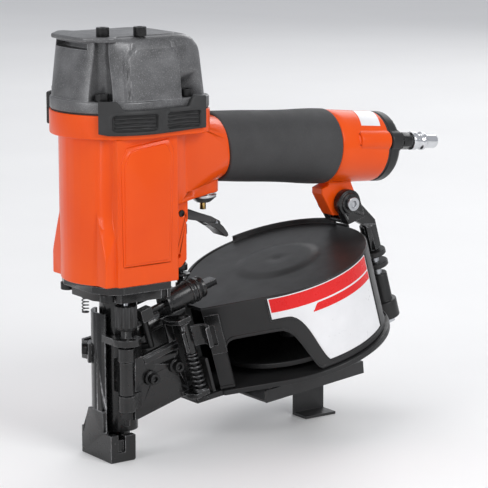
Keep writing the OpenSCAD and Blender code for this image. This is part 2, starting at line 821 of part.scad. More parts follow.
module nose_body() {
    color(BLACK) difference() {
        union() {
            // two-step flange
            translate([0, 0, flange_top_z - flange_step]) linear_extrude(flange_step) polygon([
                [flange_front_x, -16], [flange_front_x + 5, -27], [-15, -flange_half_y],
                [flange_rear_x - 3, -flange_half_y], [flange_rear_x, -26], [flange_rear_x, 26],
                [flange_rear_x - 3, flange_half_y], [-15, flange_half_y], [flange_front_x + 5, 27],
                [flange_front_x, 16]
            ]);
            translate([0, 0, flange_bottom_z]) linear_extrude(flange_t - flange_step + EPS) polygon([
                [-25, -12], [-16, -29], [19, -29], [19.5, 24], [-16, 24], [-25, 12]
            ]);
            // column and tip
            translate([0, 0, column_shoulder_z]) cylinder(r = column_r, h = flange_bottom_z - column_shoulder_z + 1);
            translate([0, 0, tip_z]) cylinder(r = column_tip_r, h = 10);
            // far wall of the nail track
            xz_plate([
                [4, 20], track_point(feed_end_u, 20), track_point(feed_end_u, 73), [4, 77]
            ], track_y, track_y + track_t);
            // head rail that closes the track above and carries the feed cylinder
            xz_plate([
                [4, 70], track_point(feed_end_u, 67), track_point(feed_end_u, 73.5), [4, 77.6]
            ], -7.6, track_y + track_t);
            // lug for the door's hinge pin
            translate([pivot_x, pivot_y, knuckle_low[1] + run_gap])
                cylinder(r = lug_mid_r, h = knuckle_high[0] - knuckle_low[1] - 2 * run_gap);
            translate([0, 0, knuckle_low[1] + run_gap])
                linear_extrude(knuckle_high[0] - knuckle_low[1] - 2 * run_gap)
                    polygon([[pivot_x - 3, pivot_y], [pivot_x + 3, pivot_y], [-1, -8], [-8, -6]]);
        }
        // drive channel
        translate([0, 0, tip_z - 1]) cylinder(r = channel_r, h = outlet_top_z - tip_z + 2);
        translate([0, 0, outlet_top_z]) cylinder(r = channel_r + channel_relief, h = 110);
        translate([0, 0, flange_bottom_z - 4]) cylinder(r = blade_r + 3, h = 20);
        // nail track behind the channel, open to the door
        xz_plate([
            [-0.5, 24], [40, 24], track_point(feed_end_u + 3, 62), [2, 66], [-0.5, 66]
        ], -14, track_y);
        // square pocket above the depth dial
        translate([pivot_x - dial_r - 1.6, pivot_y - dial_r - 1.2, flange_bottom_z - 1])
            cube([2 * dial_r + 3.2, 2 * dial_r + 2.4, flange_t + 0.1]);
        // seat of the front spring
        translate([front_spring_x, front_spring_y, flange_bottom_z - 1]) cylinder(r = 2.7, h = flange_t - 0.6);
        // nose bolts with counterbores
        for (p = nose_bolt_pos) translate([p[0], p[1], 0]) {
            translate([0, 0, flange_bottom_z - 1]) cylinder(r = M5[0] + 0.3, h = 30);
            translate([0, 0, flange_bottom_z - 10]) cylinder(r = M5[1] + 0.6, h = 10 + flange_t - flange_step);
        }
        translate([pivot_x, pivot_y, 30]) cylinder(r = door_pin_r, h = 45);
    }
}

feed_end_u = 66;
front_spring_x = -20.5;
front_spring_y = 4;

// X and Z of a point given in the sloping frame
function track_point(u, w) = [
    u * cos(feed_tilt) - w * sin(feed_tilt), u * sin(feed_tilt) + w * cos(feed_tilt)
];

module nose_gasket() {
    color(BLACK) difference() {
        translate([0, 0, flange_top_z]) linear_extrude(nose_gasket_t) polygon([
            [flange_front_x + 1.5, -15], [-16, -flange_half_y + 1.5], [flange_rear_x - 3, -flange_half_y + 1.5],
            [flange_rear_x - 1.5, -24], [flange_rear_x - 1.5, 24], [flange_rear_x - 3, flange_half_y - 1.5],
            [-16, flange_half_y - 1.5], [flange_front_x + 1.5, 15]
        ]);
        translate([0, 0, flange_top_z - 1]) cylinder(r = blade_r + 4, h = 4);
        for (p = nose_bolt_pos) translate([p[0], p[1], flange_top_z - 1]) cylinder(r = M5[0] + 0.3, h = 4);
    }
}

module nose_bolts() {
    color(DARK_STEEL) for (p = nose_bolt_pos)
        translate([p[0], p[1], flange_top_z - flange_step]) rotate([180, 0, 0])
            socket_screw(M5, flange_step + nose_gasket_t + floor_t - 0.8);
}

arm_out_r = -foot_front_x;
arm_in_r = arm_out_r - arm_sheet_t;

module contact_foot() {
    hole_r = column_tip_r + 0.5;
    wall_in = column_r + 0.9;
    color(BLACK) difference() {
        union() {
            // curved front sheet
            translate([0, 0, 12]) rotate([0, 0, 118]) rotate_extrude(angle = 92)
                translate([arm_in_r, 0]) square([arm_sheet_t, arm_top_z - 12]);
            // flared foot of the sheet
            translate([foot_front_x, 0, 0]) rotate([90, 0, 90]) linear_extrude(arm_sheet_t) polygon([
                [-foot_w / 2, 0], [foot_w / 2, 0], [foot_w / 2, 10], [9, 30], [-8, 30], [-8, 17],
                [-foot_w / 2, 17]
            ]);
            // foot plate
            translate([foot_front_x + EPS, -foot_w / 2, 0])
                cube([foot_rear_x - foot_front_x, foot_w, foot_plate_z]);
            // side walls with a groove on the outside
            for (side = [-1, 1]) mirror([0, side < 0 ? 0 : 1, 0]) {
                translate([foot_front_x + EPS, -foot_w / 2, 0]) cube([5.2, foot_w / 2 - wall_in, 17]);
                translate([foot_rear_x - 7.4, -foot_w / 2, 0]) cube([7.4, foot_w / 2 - wall_in, 16]);
                translate([foot_front_x + 1, -foot_w / 2 + 2.2, 0])
                    cube([foot_rear_x - foot_front_x - 1, foot_w / 2 - wall_in - 2.2, 13]);
            }
            // tab that carries the depth stud
            translate([0, 0, tab_low_z]) linear_extrude(tab_t) polygon([
                [-15.4, -6], [-12.6, -7.8], [-6, -13.4], [pivot_x, pivot_y], [-15.5, -17.5]
            ]);
            translate([pivot_x, pivot_y, tab_low_z]) cylinder(r = 8.8, h = tab_t);
            // nut and stud for the depth dial
            translate([pivot_x, pivot_y, tab_low_z + tab_t - EPS])
                cylinder(r = 3.6, h = dial_low_z - tab_low_z - tab_t - 0.1, $fn = 6);
            translate([pivot_x, pivot_y, tab_low_z]) cylinder(r = stud_r, h = dial_low_z + dial_h - tab_low_z);
        }
        // nose tip passage
        translate([0, 0, -1]) cylinder(r = hole_r, h = foot_plate_z + 2);
        // chamfered lower edges
        for (side = [-1, 1]) mirror([0, side < 0 ? 0 : 1, 0])
            translate([foot_rear_x, 0, 0]) rotate([0, 45, 0]) cube([1.3, 2 * foot_w, 1.3], center = true);
        // bore for the stop pin
        translate([pivot_x, pivot_y, tab_low_z + 6]) cylinder(r = stop_r + pin_fit, h = 30);
        clamp_screw_hole();
    }
}

// A bar on the far side of the nose that joins the front sheet to the rod below the trigger
bar_y = 17.4;
bar_t = 2.6;
bar_z = 90.4;
rod_top_z = 133.2;
collar_z = 113;

module arm_rod() {
    color(BLACK) {
        difference() {
            union() {
                xz_plate([
                    [-14, 58], [-6, 58], [8, 66], [24, 86], [rod_x - 4, bar_z], [rod_x + 3.4, bar_z],
                    [rod_x + 3.4, bar_z + 5.6], [rod_x - 6, bar_z + 5.6], [20, 92], [2, 72], [-14, 70]
                ], bar_y, bar_y + bar_t);
                // front tongue that lies on the curved sheet
                translate([0, 0, 58]) rotate([0, 0, 124]) rotate_extrude(angle = 38)
                    translate([arm_out_r - 0.5, 0]) square([2.9, 12]);
                translate([-14.5, 13.2, 58.5]) cube([5, bar_y - 13.2 + 1, 11]);
                // cross bar under the rod
                translate([rod_x - 3, -3, bar_z + 0.2]) cube([6, bar_y + 3 + EPS, 5.2]);
                translate([rod_x, 0, bar_z + 0.4]) cylinder(r = rod_r, h = rod_top_z - bar_z - 0.4);
                translate([rod_x, 0, 96]) cylinder(r = 3.4, h = 5, $fn = 6);
                translate([rod_x, 0, 105.6]) cylinder(r = 6.2, h = 1.6);
                translate([rod_x, 0, 109]) cylinder(r = 4.6, h = collar_z - 109);
            }
            translate([0, 0, 57]) cylinder(r = arm_out_r + 0.05, h = 14);
            clamp_screw_hole();
        }
    }
}

clamp_angle = 150;
clamp_z = 66;

module clamp_screw_hole() {
    rotate([0, 0, clamp_angle]) translate([arm_in_r - 2, 0, clamp_z]) rotate([0, 90, 0])
        cylinder(r = M4[0], h = 12);
}

module arm_clamp() {
    color(DARK_STEEL) rotate([0, 0, clamp_angle]) translate([arm_out_r + 2.55, 0, clamp_z]) rotate([0, 90, 0])
        socket_screw([M4[0], M4[1], 3.2, 2.5], 4.4);
}

module arm_spring() {
    color(DARK_STEEL) translate([rod_x, 0, collar_z + 0.05])
        coil(3.6, 1, 131.4 - collar_z - 0.1, 8);
}

module front_spring() {
    color(DARK_STEEL) translate([front_spring_x, front_spring_y, arm_top_z + 0.05])
        coil(2.3, 0.8, flange_top_z - 1.7 - arm_top_z, 7);
}

module depth_dial() {
    color(BLACK) difference() {
        translate([pivot_x, pivot_y, dial_low_z]) union() {
            cylinder(r1 = dial_r - 1.6, r2 = dial_r, h = 2.4);
            translate([0, 0, 2.4]) cylinder(r = dial_r, h = dial_h - 2.4);
        }
        for (a = [0 : 30 : 330])
            translate([pivot_x, pivot_y, dial_low_z - 1]) rotate([0, 0, a])
                translate([dial_r + 0.5, 0, 0]) cylinder(r = 1.2, h = dial_h + 2, $fn = 16);
        translate([pivot_x, pivot_y, dial_low_z - 1]) cylinder(r = stud_r + pin_fit, h = dial_h + 2);
    }
}

module depth_stop() {
    color(STEEL) translate([pivot_x, pivot_y, tab_low_z + 8]) cylinder(r = stop_r, h = dial_low_z + dial_h + 1.6 - tab_low_z - 8);
}

// =====================================================================
// Feeder
// =====================================================================

feed_out_r = feed_bore_r + feed_wall;

module along_feed(u) {
    tilted() translate([u, feed_axis_y, feed_axis_w]) rotate([0, 90, 0]) children();
}

module feed_cylinder() {
    color(BLACK) difference() {
        union() {
            along_feed(feed_u0) cylinder(r = feed_out_r, h = feed_u1 - feed_u0);
            along_feed(feed_u0) cylinder(r = feed_out_r + 0.9, h = 2.4);
            along_feed(feed_u1 - 8) cylinder(r = feed_out_r + 0.9, h = 2);
            along_feed(feed_u1 - 4) cylinder(r = feed_out_r + 0.9, h = 2);
            // foot that stands on the head rail
            tilted() translate([feed_u0 + 1, feed_axis_y + 2, 73.5 + EPS]) cube([16, 8, 7]);
        }
        along_feed(feed_u0 + 2) cylinder(r = feed_bore_r, h = 60);
        along_feed(feed_u0 - 2) cylinder(r = 2 + run_gap, h = 10);
    }
}

module feed_cap() {
    color(BLACK) {
        along_feed(feed_u1 - 3) cylinder(r = feed_bore_r, h = 3 + EPS);
        along_feed(feed_u1) cylinder(r = feed_out_r, h = 2.6);
        along_feed(feed_u1) translate([-2, -4, 0]) cube([4, 8, 12]);
    }
}

feed_rod_u = 34.4;
pawl_pin_r = 1.2;
pawl_y = -10.4;
pawl_hub_r = 2.2;
pawl_low_w = 59.2;
pawl_high_w = feed_axis_w - 4.4 - run_gap;

module feed_piston() {
    color(DARK_STEEL) {
        along_feed(feed_u0 + 2.4) cylinder(r = feed_bore_r - pin_fit, h = 6);
        along_feed(feed_rod_u - 1) cylinder(r = 2, h = feed_u0 + 6 - feed_rod_u);
        tilted() translate([feed_rod_u - 4, feed_axis_y - 2.6, feed_axis_w - 4.4]) cube([8, 6.4, 7.6]);
        // pin for the pawl
        tilted() translate([feed_rod_u, pawl_y, pawl_low_w]) cylinder(r = pawl_pin_r, h = feed_axis_w - pawl_low_w);
    }
}

module feed_pawl() {
    color(STEEL) tilted() difference() {
        union() {
            translate([feed_rod_u, pawl_y, pawl_low_w]) cylinder(r = pawl_hub_r, h = pawl_high_w - pawl_low_w);
            // driving tooth
            translate([0, 0, pawl_low_w]) linear_extrude(3) polygon([
                [feed_rod_u, pawl_y - pawl_hub_r], [feed_rod_u - 9, pawl_y + 4.6], [feed_rod_u - 9, pawl_y + 6.6],
                [feed_rod_u - 6, pawl_y + 6.6], [feed_rod_u, pawl_y + pawl_hub_r]
            ]);
        }
        translate([feed_rod_u, pawl_y, 0]) cylinder(r = pawl_pin_r + pin_fit, h = 100);
    }
}

module feed_spring() {
    color(STEEL) along_feed(feed_u0 + 8.5) coil(feed_bore_r - 0.4, 0.9, feed_u1 - 3.1 - feed_u0 - 8.5, 7);
}

// =====================================================================
// Door
// =====================================================================

module nail_door() {
    color(BLACK) difference() {
        union() {
            // plate
            xz_plate([
                [door_front_x, (door_low_w + door_front_x * sin(feed_tilt)) / cos(feed_tilt)],
                track_point(door_rear_u, door_low_w), track_point(door_rear_u, door_top_w),
                [door_front_x, (door_top_w + door_front_x * sin(feed_tilt)) / cos(feed_tilt)]
            ], door_y, door_y + door_t);
            // lip along the top
            tilted() translate([24, door_y - 1.2, door_top_w - 5]) cube([door_rear_u - 24, 2, 3.4]);
            // nail guide on the inside
            tilted() translate([24, door_y + door_t - EPS, 30]) cube([door_rear_u - 25, 4.6, 3.4]);
            tilted() translate([24, door_y + door_t - EPS, 48]) cube([door_rear_u - 25, 4.6, 3.4]);
            // ears that carry the latch pin
            tilted() translate([door_rear_u - 5, door_y + 0.3, door_top_w - 4]) cube([4.8, door_t - 1.3, latch_high_w - door_top_w + 2]);
            for (w = [latch_low_w - 3, latch_high_w - 4.4])
                tilted() translate([0, 0, w]) linear_extrude(3) polygon([
                    [door_rear_u - 5, door_y + door_t - 1], [door_rear_u - 5, door_y - 6],
                    [latch_u - 4.5, latch_y - 3], [latch_u + 4.5, latch_y - 3],
                    [latch_u + 4.5, latch_y + 3], [door_rear_u - 0.3, door_y + door_t - 1]
                ]);
            // hinge knuckles
            for (k = [knuckle_low, knuckle_high]) translate([0, 0, k[0]]) {
                translate([pivot_x, pivot_y, 0]) cylinder(r = knuckle_r, h = k[1] - k[0]);
                linear_extrude(k[1] - k[0]) polygon([
                    [pivot_x, pivot_y - knuckle_r + 1], [door_front_x + 5, door_y],
                    [door_front_x + 5, door_y + door_t], [door_front_x, door_y + door_t],
                    [pivot_x, pivot_y + knuckle_r - 1]
                ]);
            }
            // strap from the upper knuckle down to the plate
            xz_plate([[door_front_x, 56], [door_front_x + 5, 56], [door_front_x + 5, 71], [door_front_x, 71]],
                door_y, door_y + door_t);
        }
        for (k = [knuckle_low, knuckle_high])
            translate([pivot_x, pivot_y, k[0] - 1]) cylinder(r = door_pin_r + pin_fit, h = k[1] - k[0] + 2);
        for (u = door_screw_u)
            tilted() translate([u, 0, door_screw_w]) rotate([90, 0, 0]) cylinder(r = M4[0], h = 40);
        tilted() translate([latch_u, latch_y, 0]) cylinder(r = latch_pin_r, h = 100);
    }
}

module door_screws() {
    color(DARK_STEEL) for (u = door_screw_u)
        tilted() translate([u, door_y, door_screw_w]) rotate([90, 0, 0]) {
            translate([0, 0, 1.8 + EPS]) socket_screw([M4[0], 3.3, 4.2, 3], 1.8 + door_t + 1);
            difference() {
                cylinder(r = 4.6, h = 1.8);
                translate([0, 0, -1]) cylinder(r = M4[0], h = 4);
            }
        }
}

module door_hinge_pin() {
    color(DARK_STEEL) translate([pivot_x, pivot_y, 0]) {
        translate([0, 0, 27.6]) cylinder(r = door_pin_r, h = knuckle_high[1] + 0.6 - 27.6);
        translate([0, 0, 27.4]) cylinder(r = 4, h = knuckle_low[0] - run_gap - 27.4, $fn = 6);
        translate([0, 0, 23]) cylinder(r = 1.8, h = 6);
    }
}

module latch_pin() {
    color(DARK_STEEL) tilted() translate([latch_u, latch_y, latch_low_w - 4]) {
        cylinder(r = latch_pin_r, h = latch_high_w - latch_low_w + 4);
        translate([0, 0, -1.4]) cylinder(r = 3.6, h = 2.3);
    }
}

latch_w0 = 51;
latch_w1 = latch_high_w - 4.4 - run_gap;

module door_latch() {
    color(DARK_STEEL) tilted() difference() {
        union() {
            translate([latch_u, latch_y, latch_w0]) cylinder(r = latch_pin_r + 1.6, h = latch_w1 - latch_w0);
            // thumb tab, curled outwards
            translate([latch_u, latch_y, latch_w0 + 3]) linear_extrude(13) difference() {
                translate([2, -8.5]) circle(r = 8.6);
                translate([2, -8.5]) circle(r = 6.6);
                translate([-14, -20]) square([16, 14]);
                translate([-14, -20]) square([26, 6]);
            }
            // hook towards the cover
            translate([latch_u + 1.5, latch_y - 1, latch_w0 + 4]) cube([12, 2, 8]);
        }
        translate([latch_u, latch_y, 0]) cylinder(r = latch_pin_r + pin_fit, h = 100);
    }
}

module latch_spring() {
    color(DARK_STEEL) tilted() translate([latch_u, latch_y, latch_low_w + 0.1])
        coil(4.4, 1.4, latch_w0 - latch_low_w - 0.2, 8);
}

// =====================================================================
// Magazine
// =====================================================================

// Half plane in the sloping frame: near side (-1) or far side (+1), gap off the split
module half(side, gap) {
    translate([0, drum_y + (side < 0 ? -200 - gap : gap)]) square([400, 200]);
}

module magazine_base() {
    wall_top_w = drum_top_w + 0.5;
    color(BLACK) tilted() difference() {
        union() {
            // floor with a rim that stands out under the cover
            translate([0, 0, base_floor_w]) linear_extrude(base_floor_t) drum_outline(2.6);
            translate([0, 0, base_floor_w]) linear_extrude(base_floor_t)
                polygon([[54, drum_y - 10], [75, drum_y - 18], [75, drum_y + 17], [54, drum_y + 17]]);
            // far wall
            translate([0, 0, base_floor_w + 0.5]) linear_extrude(wall_top_w - base_floor_w - 0.5) intersection() {
                difference() { drum_outline(2.1); drum_outline(run_gap); }
                half(1, run_gap);
            }
            // raised rim behind the cover's disc
            translate([drum_u, drum_y, wall_top_w - 1]) rotate([0, 0, 12]) rotate_extrude(angle = 70)
                translate([drum_r + run_gap + 0.3, 0]) square([1.5, 4]);
            // arm that bolts to the far side of the nose
            translate([50, track_y + track_t + EPS, base_floor_w + 0.4]) cube([28, 4, 54]);
            // centre post
            translate([drum_u, drum_y, base_floor_w + 1]) cylinder(r = post_r, h = 47);
            // inner guide wall at the throat
            translate([66, drum_y - 12, base_floor_w + 1]) cube([2.2, 7, 25]);
            // lower hinge barrel and its web
            translate([hinge_u, hinge_y, 2]) cylinder(r = 8.4, h = 12);
            translate([drum_u + drum_r + 3.2, hinge_y - 4, 2]) cube([hinge_u - drum_u - drum_r - 3, 8, 12]);
            translate([drum_u + drum_r - 3, hinge_y - 4, 2]) cube([8, 8, base_floor_w + base_floor_t - 2]);
            translate([hinge_u, hinge_y, 13]) cylinder(r = 6, h = 20);
            translate([drum_u + drum_r + 2, hinge_y + 1, 13]) cube([hinge_u - drum_u - drum_r - 2, 4, 20]);
            translate([drum_u + drum_r - 6, drum_y + 3, base_floor_w]) cube([9, 6, 21 + base_floor_t]);
        }
        translate([hinge_u, hinge_y, -5]) cylinder(r = hinge_pin_r, h = 60);
    }
    // two keels that stand in the guide channel
    color(BLACK) for (side = [-1, 1])
        translate([0, side * 10, 0]) xz_plate([
            [118, keel_foot_z(118)], [160, keel_foot_z(160)], [160, keel_top_z(160)], [118, keel_top_z(118)]
        ], -2, 2);
}

// Height of the floor's underside, and of the channel's inner face, at x
function keel_top_z(x) = (base_floor_w + 0.5 + x * sin(feed_tilt)) / cos(feed_tilt);
function keel_foot_z(x) = channel_z0 + (sheet_t + EPS) / cos(channel_tilt) + (x - channel_x0) * tan(channel_tilt);

module magazine_cover() {
    color(BLACK) tilted() difference() {
        union() {
            // top disc with a raised centre
            translate([0, 0, drum_top_w - drum_wall]) linear_extrude(drum_wall) drum_outline(0);
            translate([drum_u, drum_y, drum_top_w - EPS]) cylinder(r1 = 27, r2 = 22, h = 1.6);
            // near wall
            translate([0, 0, drum_bottom_w]) linear_extrude(drum_h) intersection() {
                difference() { drum_outline(0); drum_outline(-drum_wall); }
                half(-1, run_gap);
            }
            // hinge knuckles
            for (w = [38, 46]) translate([0, 0, w]) {
                translate([hinge_u, hinge_y, 0]) cylinder(r = 8.4, h = 3.4);
                translate([drum_u + drum_r - 2.2, hinge_y - 6, 0]) cube([15, 8, 3.4]);
            }
        }
        for (w = [38, 46]) translate([hinge_u, hinge_y, w - 1]) cylinder(r = hinge_pin_r + pin_fit, h = 6);
        // viewing cut-out low in the near wall
        translate([0, drum_y - 4, 0]) xz_plate([
            [throat_u + 7, cut_low_w], [cut_rear_u + 9, cut_low_w], [cut_rear_u + 2, 32],
            [cut_rear_u - 3, 42], [cut_rear_u - 9, cut_top_w], [throat_u + 12, cut_top_w],
            [throat_u + 7, cut_top_w - 4]
        ], -80, 0);
    }
}

strike_t = 1.4;

module cover_strike() {
    // a C-shaped catch on the slanted front wall of the cover
    wall_angle = -41.2;
    color(STEEL) tilted() translate([throat_u, drum_y - throat_half, 40])
        rotate([0, 0, wall_angle]) translate([0.6, -strike_t - EPS, 0]) difference() {
            cube([9.5, strike_t, 26]);
            translate([-1, -1, 6]) cube([6, 4, 13]);
        }
}

module nail_tray() {
    color(BLACK) tilted() translate([drum_u, drum_y, base_floor_w + base_floor_t + 4]) difference() {
        union() {
            cylinder(r = tray_r, h = 2);
            cylinder(r = post_r + 4, h = 12);
            ring(tray_r, tray_r - 2, 3.4);
        }
        translate([0, 0, -1]) cylinder(r = post_r + pin_fit, h = 20);
    }
}

module magazine_hinge_pin() {
    color(STEEL) tilted() translate([hinge_u, hinge_y, 0]) {
        cylinder(r = hinge_pin_r, h = 64);
        translate([0, 0, -1.5]) cylinder(r = 5, h = 3.4, $fn = 6);
    }
}

module hanger_arm() {
    pivot_u = hanger_lug_x * cos(feed_tilt) + hanger_lug_z * sin(feed_tilt);
    pivot_w = -hanger_lug_x * sin(feed_tilt) + hanger_lug_z * cos(feed_tilt);
    ear_in = hanger_lug_half + run_gap;
    color(BLACK) tilted() difference() {
        union() {
            for (side = [-1, 1]) mirror([0, side < 0 ? 0 : 1, 0]) {
                translate([pivot_u, -ear_in, pivot_w]) rotate([90, 0, 0]) cylinder(r = 8.6, h = 6);
                xz_plate([
                    [pivot_u - 8.4, pivot_w], [pivot_u - 5, 75.8], [pivot_u + 9, 75.8], [pivot_u + 8.4, pivot_w]
                ], -ear_in - 6, -ear_in);
            }
            // web below the housing's lug
            translate([pivot_u - 5, -ear_in - 6, 75.2]) cube([14, 2 * ear_in + 12, 2.6]);
            // near ear runs down to the hinge sleeve
            xz_plate([
                [pivot_u + 1, 76], [hinge_u - 4, 68], [hinge_u - 4, 51], [hinge_u + 4, 51],
                [hinge_u + 4, 70], [pivot_u + 8.4, pivot_w - 3]
            ], -ear_in - 5, -ear_in);
            translate([hinge_u, hinge_y, 50]) cylinder(r = 5, h = 17);
            // outer rib round the screw
            translate([pivot_u, -ear_in - 5.9, pivot_w]) rotate([90, 0, 0]) cylinder(r = 6.6, h = 1.6);
        }
        translate([hinge_u, hinge_y, 49]) cylinder(r = hinge_pin_r, h = 15);
        translate([pivot_u, 40, pivot_w]) rotate([90, 0, 0]) cylinder(r = hanger_screw_r, h = 80);
    }
}

module hanger_screw() {
    reach = hanger_lug_half + run_gap + 6;
    color(STEEL) translate([hanger_lug_x, -reach - 1.6, hanger_lug_z]) rotate([90, 0, 0])
        socket_screw([hanger_screw_r, 4.4, 2.6, 4], 2 * reach + 1);
}

// =====================================================================
// Shingle guide
// =====================================================================

module guide_channel() {
    slot_r = M5[0] + 0.3;
    color(BLACK) along_channel() difference() {
        union() {
            translate([0, -channel_w / 2, 0]) cube([channel_len, channel_w, sheet_t]);
            for (side = [-1, 1]) mirror([0, side < 0 ? 0 : 1, 0]) {
                translate([0, -channel_w / 2, 0]) cube([channel_len, sheet_t, channel_h]);
                translate([6, -channel_w / 2, channel_h - sheet_t]) cube([channel_len - 6, 5, sheet_t]);
            }
        }
        // slot for the guide's clamp screw
        translate([guide_x0 - channel_x0 + guide_len / 2 - guide_travel - slot_r, 2 - slot_r, -1])
            cube([2 * (guide_travel + slot_r), 2 * slot_r, sheet_t + 2]);
    }
}

module shingle_guide() {
    guide_z = channel_z0 + (guide_x0 - channel_x0) * tan(channel_tilt);
    color(BLACK) {
        along_channel() translate([guide_x0 - channel_x0, guide_foot_y - 6, -sheet_t - run_gap])
            cube([guide_len, guide_plate_y - guide_foot_y + 6 + sheet_t, sheet_t]);
        xz_plate([
            [guide_x0 + 1, 0], [guide_x0 + guide_len - 1, 0],
            [guide_x0 + guide_len - 1, guide_z + (guide_len - 2) * tan(channel_tilt) - 2.4],
            [guide_x0 + 1, guide_z - 2.4]
        ], guide_plate_y, guide_plate_y + sheet_t);
        translate([guide_x0 + 1, guide_foot_y, 0]) cube([guide_len - 2, guide_plate_y - guide_foot_y + 1, sheet_t]);
    }
    // clamp screw with its washer inside the channel
    color(DARK_STEEL) along_channel() translate([guide_x0 - channel_x0 + guide_len / 2, 2, 0]) {
        translate([0, 0, -sheet_t - run_gap - 3]) cylinder(r = M5[0], h = 3 + 2 * sheet_t + run_gap + 4);
        translate([0, 0, -sheet_t - run_gap - 4]) cylinder(r = 4, h = 4, $fn = 6);
        translate([0, 0, sheet_t + run_gap]) cylinder(r = 5, h = 1.6);
    }
}

// =====================================================================
// Output: one line for each sub-part
// =====================================================================

body_housing();
exhaust_cap();
exhaust_plate();
cap_gasket();
cap_bolts();
plate_bolts();
guard_left();
guard_right();
cylinder_sleeve();
sleeve_seals();
piston_bumper();
head_valve();
head_valve_spring();
driver_piston();
piston_ring();
driver_blade();
handle_grip();
handle_end_cap();
end_cap_seal();
end_cap_screws();
plug_adapter();
air_plug();
trigger();
trigger_pin();
trip_lever();
trip_pin();
valve_body();
valve_plunger();
valve_spring();
rod_guide();
nose_body();
nose_gasket();
nose_bolts();
contact_foot();
arm_rod();
arm_clamp();
arm_spring();
front_spring();
depth_dial();
depth_stop();
feed_cylinder();
feed_cap();
feed_piston();
feed_pawl();
feed_spring();
nail_door();
door_screws();
door_hinge_pin();
door_latch();
latch_pin();
latch_spring();
magazine_base();
magazine_cover();
cover_strike();
nail_tray();
magazine_hinge_pin();
hanger_arm();
hanger_screw();
guide_channel();
shingle_guide();
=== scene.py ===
"""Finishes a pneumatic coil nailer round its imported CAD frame, one class for each sub-assembly."""

import json
import logging
import math
from dataclasses import dataclass, field
from enum import Enum
from typing import Callable, Iterable, Sequence

import bmesh
import bpy
from mathutils import Matrix, Vector
from mathutils.bvhtree import BVHTree

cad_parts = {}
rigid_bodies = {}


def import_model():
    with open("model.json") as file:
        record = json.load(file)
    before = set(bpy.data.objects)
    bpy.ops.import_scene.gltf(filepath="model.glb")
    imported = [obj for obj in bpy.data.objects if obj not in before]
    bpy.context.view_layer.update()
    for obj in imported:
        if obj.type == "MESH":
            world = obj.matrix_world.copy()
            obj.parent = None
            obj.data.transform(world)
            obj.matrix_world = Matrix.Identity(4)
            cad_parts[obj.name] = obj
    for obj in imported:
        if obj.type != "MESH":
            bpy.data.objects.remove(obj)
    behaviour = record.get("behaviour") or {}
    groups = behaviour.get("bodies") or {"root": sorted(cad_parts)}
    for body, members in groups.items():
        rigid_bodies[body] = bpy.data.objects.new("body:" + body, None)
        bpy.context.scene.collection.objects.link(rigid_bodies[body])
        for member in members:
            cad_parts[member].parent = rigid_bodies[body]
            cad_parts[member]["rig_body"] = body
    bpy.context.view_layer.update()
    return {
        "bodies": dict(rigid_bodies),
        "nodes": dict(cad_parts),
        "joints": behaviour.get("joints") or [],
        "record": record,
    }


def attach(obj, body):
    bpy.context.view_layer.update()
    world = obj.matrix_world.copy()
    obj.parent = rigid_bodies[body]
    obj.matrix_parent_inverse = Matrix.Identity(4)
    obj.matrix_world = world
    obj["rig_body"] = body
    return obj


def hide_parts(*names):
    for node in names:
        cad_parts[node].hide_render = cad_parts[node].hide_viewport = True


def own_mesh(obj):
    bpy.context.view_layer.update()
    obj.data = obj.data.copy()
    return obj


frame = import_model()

LOG = logging.getLogger("coil_nailer")
MM = 0.001
Pair = tuple[float, float]
Colour = tuple[float, float, float]
Line = Callable[[float], float]
Span = Callable[[float], Pair]

# Sockets of a Mix node set to colours: its factor and two colours, and its result.
MIX_COLOUR_INPUTS = (0, 6, 7)
MIX_COLOUR_OUTPUT = 2

# Rays with which a material feels for its corners.
EDGE_SAMPLES = 4

# How the mesh of a CAD node is cleaned before its edges are broken, in metres and degrees.
MERGE_DISTANCE = 2e-5
COLLAPSE_DISTANCE = 8e-5
FLAT_DEGREES = 1.0
SHARP_DEGREES = 30.0

# Greatest distance of a broken edge from the CAD surface, in radii of the edge.
PULL_BACK = 2.5

# Angle up to which the faces of a form shade as one.
SMOOTH_DEGREES = 35.0


# ---------------------------------------------------------------------------
# Named options
# ---------------------------------------------------------------------------


class Slot(Enum):
    """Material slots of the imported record."""

    ORANGE_PAINT = "orange_paint"
    CAST_GREY = "cast_grey"
    BLACK_RUBBER = "black_rubber"
    GRIP_RUBBER = "grip_rubber"
    BUMPER_RUBBER = "bumper_rubber"
    BLACK_SCREW = "black_screw"
    BLACK_STEEL = "black_steel"
    SPRING_STEEL = "spring_steel"
    BRIGHT_STEEL = "bright_steel"
    CHROME = "chrome"
    DARK_FITTING = "dark_fitting"
    PISTON_ALLOY = "piston_alloy"
    BRASS = "brass"
    BLACK_PLASTIC = "black_plastic"
    DIAL_PLASTIC = "dial_plastic"
    TRIGGER_PLASTIC = "trigger_plastic"
    CHANNEL_PAINT = "channel_paint"


class Edge(Enum):
    """How the edges of a piece are broken: radius in millimetres and number of steps."""

    CRISP = (0.22, 2)
    MACHINED = (0.38, 2)
    MOULDED = (0.55, 2)
    SOFT = (0.85, 3)


# ---------------------------------------------------------------------------
# Finishes
# ---------------------------------------------------------------------------


